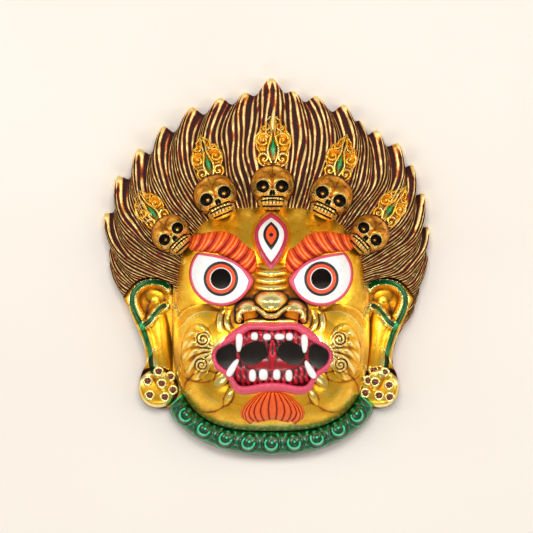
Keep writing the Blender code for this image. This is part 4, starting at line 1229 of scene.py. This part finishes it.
def lay_collar(u, v):
    direction = np.radians(COLLAR_SPAN * (2 * u - 1))
    sine, cosine = np.sin(direction), np.cos(direction)
    inner = face_ring(1.0)(math.pi - direction) - 5.0
    outer = collar_reach(sine, FACE_CENTRE_Y - cosine)
    ends = np.clip(1 - np.abs(2 * u - 1) ** 30, 0, 1) ** 0.5
    outer = inner + (outer - 0.02 - inner) * (0.62 + 0.38 * ends)
    radius = inner + (outer - inner) * v
    band = np.clip((radius - inner - 5.0) / (outer - inner - 5.0), 0.0, 1.0)
    z = COLLAR_EDGE_HEIGHT + COLLAR_RISE * np.clip(1 - (2 * band - 0.95) ** 2 / 1.2, 0, 1) ** 0.5
    middle = outer - 9.4
    step = 2 * COLLAR_SPAN * 0.94 / COLLAR_CURLS
    at = (np.degrees(direction) / step + 0.5 * (COLLAR_CURLS % 2))
    near = np.floor(at) + 0.5 - 0.5 * (COLLAR_CURLS % 2)
    across = np.radians(np.degrees(direction) - near * step) * middle
    up = middle - radius
    gap = np.hypot(across, up)
    turn = np.degrees(np.arctan2(across, -up))
    opening = np.clip((turn + 150) / 25, 0, 1) * np.clip((115 - turn) / 30, 0, 1)
    z = z + 1.7 * ridge(gap - CURL_RADIUS + 1.0, 1.2, 0.8) * opening
    z = z + 1.5 * ridge(np.hypot(across - 0.6, up - 0.8), 1.5, 0.7)
    z = z - 0.8 * ridge(gap - CURL_RADIUS - 1.6, 1.3, 0.7)
    leaf = 0.7 * np.cos(across * 1.1) * ridge(band - 0.14, 0.12)
    z = z + leaf - 5.5 * np.clip((np.abs(2 * u - 1) - 0.985) / 0.015, 0, 1) ** 2
    return radius * sine, FACE_CENTRE_Y - radius * cosine, z


# Bottle green enamel, paler green on the crests as painted highlight and nearly black in the
# hollows as painted shade.
bottle_green = toned_paint("bottle_green_enamel", ((0.04, "#34E09A"), (0.20, "#089450"),
                                                   (0.38, "#035628"), (0.60, "#023A1A"),
                                                   (0.90, "#01140A")), 4.0, 0.0, 0.24, coat=0.5)
collar = sheet("collar", 560, COLLAR_ROWS, lay_collar, near=2, far=6, fine=1.0, broad=0.2)
close_down(collar, 1.5)
cut(collar, face_hollow)
finish(collar, bottle_green, (resin_and_hole_shade, lambda x, y, z, nx, ny, nz: nz < -0.3))


# The skulls: five small skulls cast in high relief along the brow, painted copper and rubbed
# with gold, the gold on their crests partly painted highlight, with sockets darkened to black as
# painted shade and a grin of worn teeth.
SKULLS = (
    (1.0, 63.1, 0.0, 17.8), (-44.0, 55.5, 23.0, 17.8), (47.2, 55.1, -26.0, 17.8),
    (-79.2, 25.5, 42.0, 16.0), (78.0, 25.5, -45.0, 16.0),
)
SKULL_FOOT = 27.0
SKULL_RISE = 24.0
SKULL_EDGE = (
    (0.0, 1.03), (0.52, 0.88), (0.88, 0.52), (1.0, 0.08), (0.90, -0.34),
    (0.66, -0.62), (0.58, -0.88), (0.38, -1.02), (0.0, -1.06),
)
copper = toned_paint("skull_copper", ((0.12, "#FFE48A"), (0.32, "#EFA62C"), (0.50, "#A0500E"),
                                      (0.64, "#54200A"), (0.82, "#0A0402")), 6.0, 0.8, 0.26)


def skull_height(a, b):
    """A skull's relief, in shares of its radius, over shares of its radius."""
    side = np.abs(a)
    z = 1.35 * bump(side, b, (0, 0.10), (1.04, 1.04), fullness=0.45)
    jaw = 1.16 * bump(side, b, (0, -0.55), (0.70, 0.56), fullness=0.36)
    z = np.maximum(z * np.clip(1 - 0.25 * np.clip(-0.30 - b, 0, 1), 0, 1), jaw)
    z = z + 0.07 * ridge(np.hypot(side - 0.42, b - 0.30), 0.40, 1.2)
    cheek = 0.10 * bump(side, b, (0.62, -0.30), (0.22, 0.14), turn=25, fullness=0.8)
    socket = np.hypot((side - 0.43) / 1.0, (b - 0.03) / 0.96)
    z = z + cheek - 0.46 * ridge(socket, 0.29, 0.35) + 0.07 * ridge(socket - 0.305, 0.045, 0.6)
    z = z + 0.10 * ridge(np.hypot(side - 0.41, b + 0.04), 0.15, 1.2)
    nose_hole = bump(side, b, (0.055, -0.25), (0.07, 0.13), turn=12, fullness=0.6)
    z = z - 0.22 * nose_hole + 0.06 * ridge(side, 0.05) * (b < -0.08) * (b > -0.22)
    teeth_band = np.exp(-((b + 0.62) / 0.16) ** 2) * (side < 0.50)
    bars = np.abs(np.sin(math.pi * a / 0.165)) ** 0.5
    z = z + teeth_band * (0.10 * bars - 0.06)
    z = z - 0.12 * ridge(b + 0.62 - 0.05 * np.cos(3 * a), 0.035, 0.7) * (side < 0.52)
    return z - 0.10 * ridge(b + 0.86, 0.05) * (side < 0.45) - 0.10 * ridge(b + 0.42, 0.04) * (side < 0.5)


def skull(name, x, y, turn, radius):
    loop = both_sides(SKULL_EDGE)
    turns = np.arctan2(loop[:, 0], loop[:, 1])
    order = np.argsort(turns)
    reaches = np.hypot(loop[:, 0], loop[:, 1])[order]
    c, s = math.cos(math.radians(turn)), math.sin(math.radians(turn))

    def lay_out(u, v):
        direction, share = rounded(u, v)
        reach = share * np.interp(direction, turns[order], reaches, period=2 * math.pi)
        a, b = reach * np.sin(direction), reach * np.cos(direction)
        z = SKULL_FOOT + SKULL_RISE / 1.35 * skull_height(a, b)
        a, b = a * radius, b * radius
        return x + a * c - b * s, y + a * s + b * c, z

    piece = sheet(name, 98, 102, lay_out, near=2, far=7)
    close_down(piece, SKULL_FOOT - 6.0)
    finish(piece, copper)


for number, row in enumerate(SKULLS, 1):
    skull(f"skull_{number}", *row)


# The ornaments: a leaf of scrolls behind each skull, like a flame, gilt, with a slim lozenge
# painted emerald in the middle.
ORNAMENTS = (
    (1.6, 101.5, 0.0, 14.6, 23.4), (-51.6, 87.5, 15.0, 13.2, 19.6), (56.2, 87.5, -14.0, 13.2, 19.6),
    (-98.0, 47.5, 38.0, 12.4, 18.8), (97.6, 49.5, -35.0, 12.4, 18.8),
)
ORNAMENT_EDGE = (
    (0.0, 1.0), (0.16, 0.84), (0.30, 0.74), (0.44, 0.66), (0.50, 0.50), (0.72, 0.44),
    (0.80, 0.28), (0.95, 0.14), (1.0, -0.08), (0.93, -0.32), (0.80, -0.46), (0.86, -0.66),
    (0.72, -0.88), (0.40, -0.98), (0.0, -1.0),
)
# Each scroll: its middle and radius as shares of the leaf, which way it winds, and its start.
SCROLLS = (
    (0.50, -0.66, 0.36, -1, 1.0), (0.53, -0.04, 0.44, 1, 0.4), (0.44, 0.42, 0.26, -1, 2.0),
    (0.20, 0.70, 0.20, 1, 0.5),
)
LOZENGE = (0.17, 0.34, -0.30)
ORNAMENT_RISE = 4.2


def ornament(name, x, y, turn, half_width, half_height):
    loop = both_sides(ORNAMENT_EDGE) * np.array([half_width, half_height])
    closed = np.vstack([loop, loop[:1]])
    turns = np.arctan2(loop[:, 0], loop[:, 1])
    order = np.argsort(turns)
    reaches = np.hypot(loop[:, 0], loop[:, 1])[order]
    c, s = math.cos(math.radians(turn)), math.sin(math.radians(turn))

    def lay_out(u, v):
        direction, share = rounded(u, v)
        reach = share * np.interp(direction, turns[order], reaches, period=2 * math.pi)
        a, b = reach * np.sin(direction), reach * np.cos(direction)
        side = np.abs(a)
        px, py = x + a * c - b * s, y + a * s + b * c
        from_root = np.hypot(px, py - HAIR_CENTRE_Y)
        angle = np.degrees(np.arctan2(px, py - HAIR_CENTRE_Y))
        edge = 0.90 * CROWN_REACH * np.cos(np.radians(angle * 0.62))
        base = hair_base((from_root - HAIR_ROOT) / (edge - HAIR_ROOT), angle)
        z = base + ORNAMENT_RISE - 1.6 + 1.2 * bump(a, b, (0, 0), (half_width, half_height),
                                                    fullness=1.0)
        pattern = np.zeros(np.shape(a))
        for across, up, size, way, start in SCROLLS:
            centre, radius = (across * half_width, up * half_height), size * half_width
            pattern = np.maximum(pattern, volute(side, b, centre, radius, way, start, 4.3))
        stem, _ = distance_to(side, b, smooth_line((
            (0.0, half_height * 0.96), (0.13 * half_width, half_height * 0.55),
            (0.10 * half_width, half_height * 0.20), (0.30 * half_width, -half_height * 0.36),
            (0.10 * half_width, -half_height * 0.80)), 5))
        border, _ = distance_to(a, b, closed)
        pattern = np.maximum(pattern, np.maximum(ridge(stem, 1.2), 0.8 * ridge(border - 0.9, 1.1)))
        lozenge = side / (LOZENGE[0] * half_width) + np.abs(b - LOZENGE[2] * half_height) / (
            LOZENGE[1] * half_height)
        gem = np.clip(1.15 - lozenge, 0, 1)
        pattern = np.where(lozenge < 1.15, 0.15 + 0.9 * gem, pattern)
        z = z + 2.1 * pattern - 1.8 * np.clip(share, 0, 1) ** 40
        return px, py, z

    def in_lozenge(px, py):
        a = (px - x) * c + (py - y) * s
        b = (py - y) * c - (px - x) * s
        return np.abs(a) / (LOZENGE[0] * half_width) + np.abs(b - LOZENGE[2] * half_height) / (
            LOZENGE[1] * half_height) < 1.06

    piece = sheet(name, 108, 128, lay_out, near=2, far=6, fine=0.5, broad=0.25)
    lowest = min(vertex.co.z for vertex in piece.data.vertices) / MM
    close_down(piece, lowest - 3.0)
    finish(piece, gilt, (emerald, lambda px, py, z, nx, ny, nz: in_lozenge(px, py)))


for number, row in enumerate(ORNAMENTS, 1):
    ornament(f"ornament_{number}", *row)

# Together these pieces are the one casting that the solid stands for.
for cutter in (face_hollow, hair_hollow):
    bpy.data.objects.remove(cutter)
for piece in mask_pieces:
    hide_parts("mask")
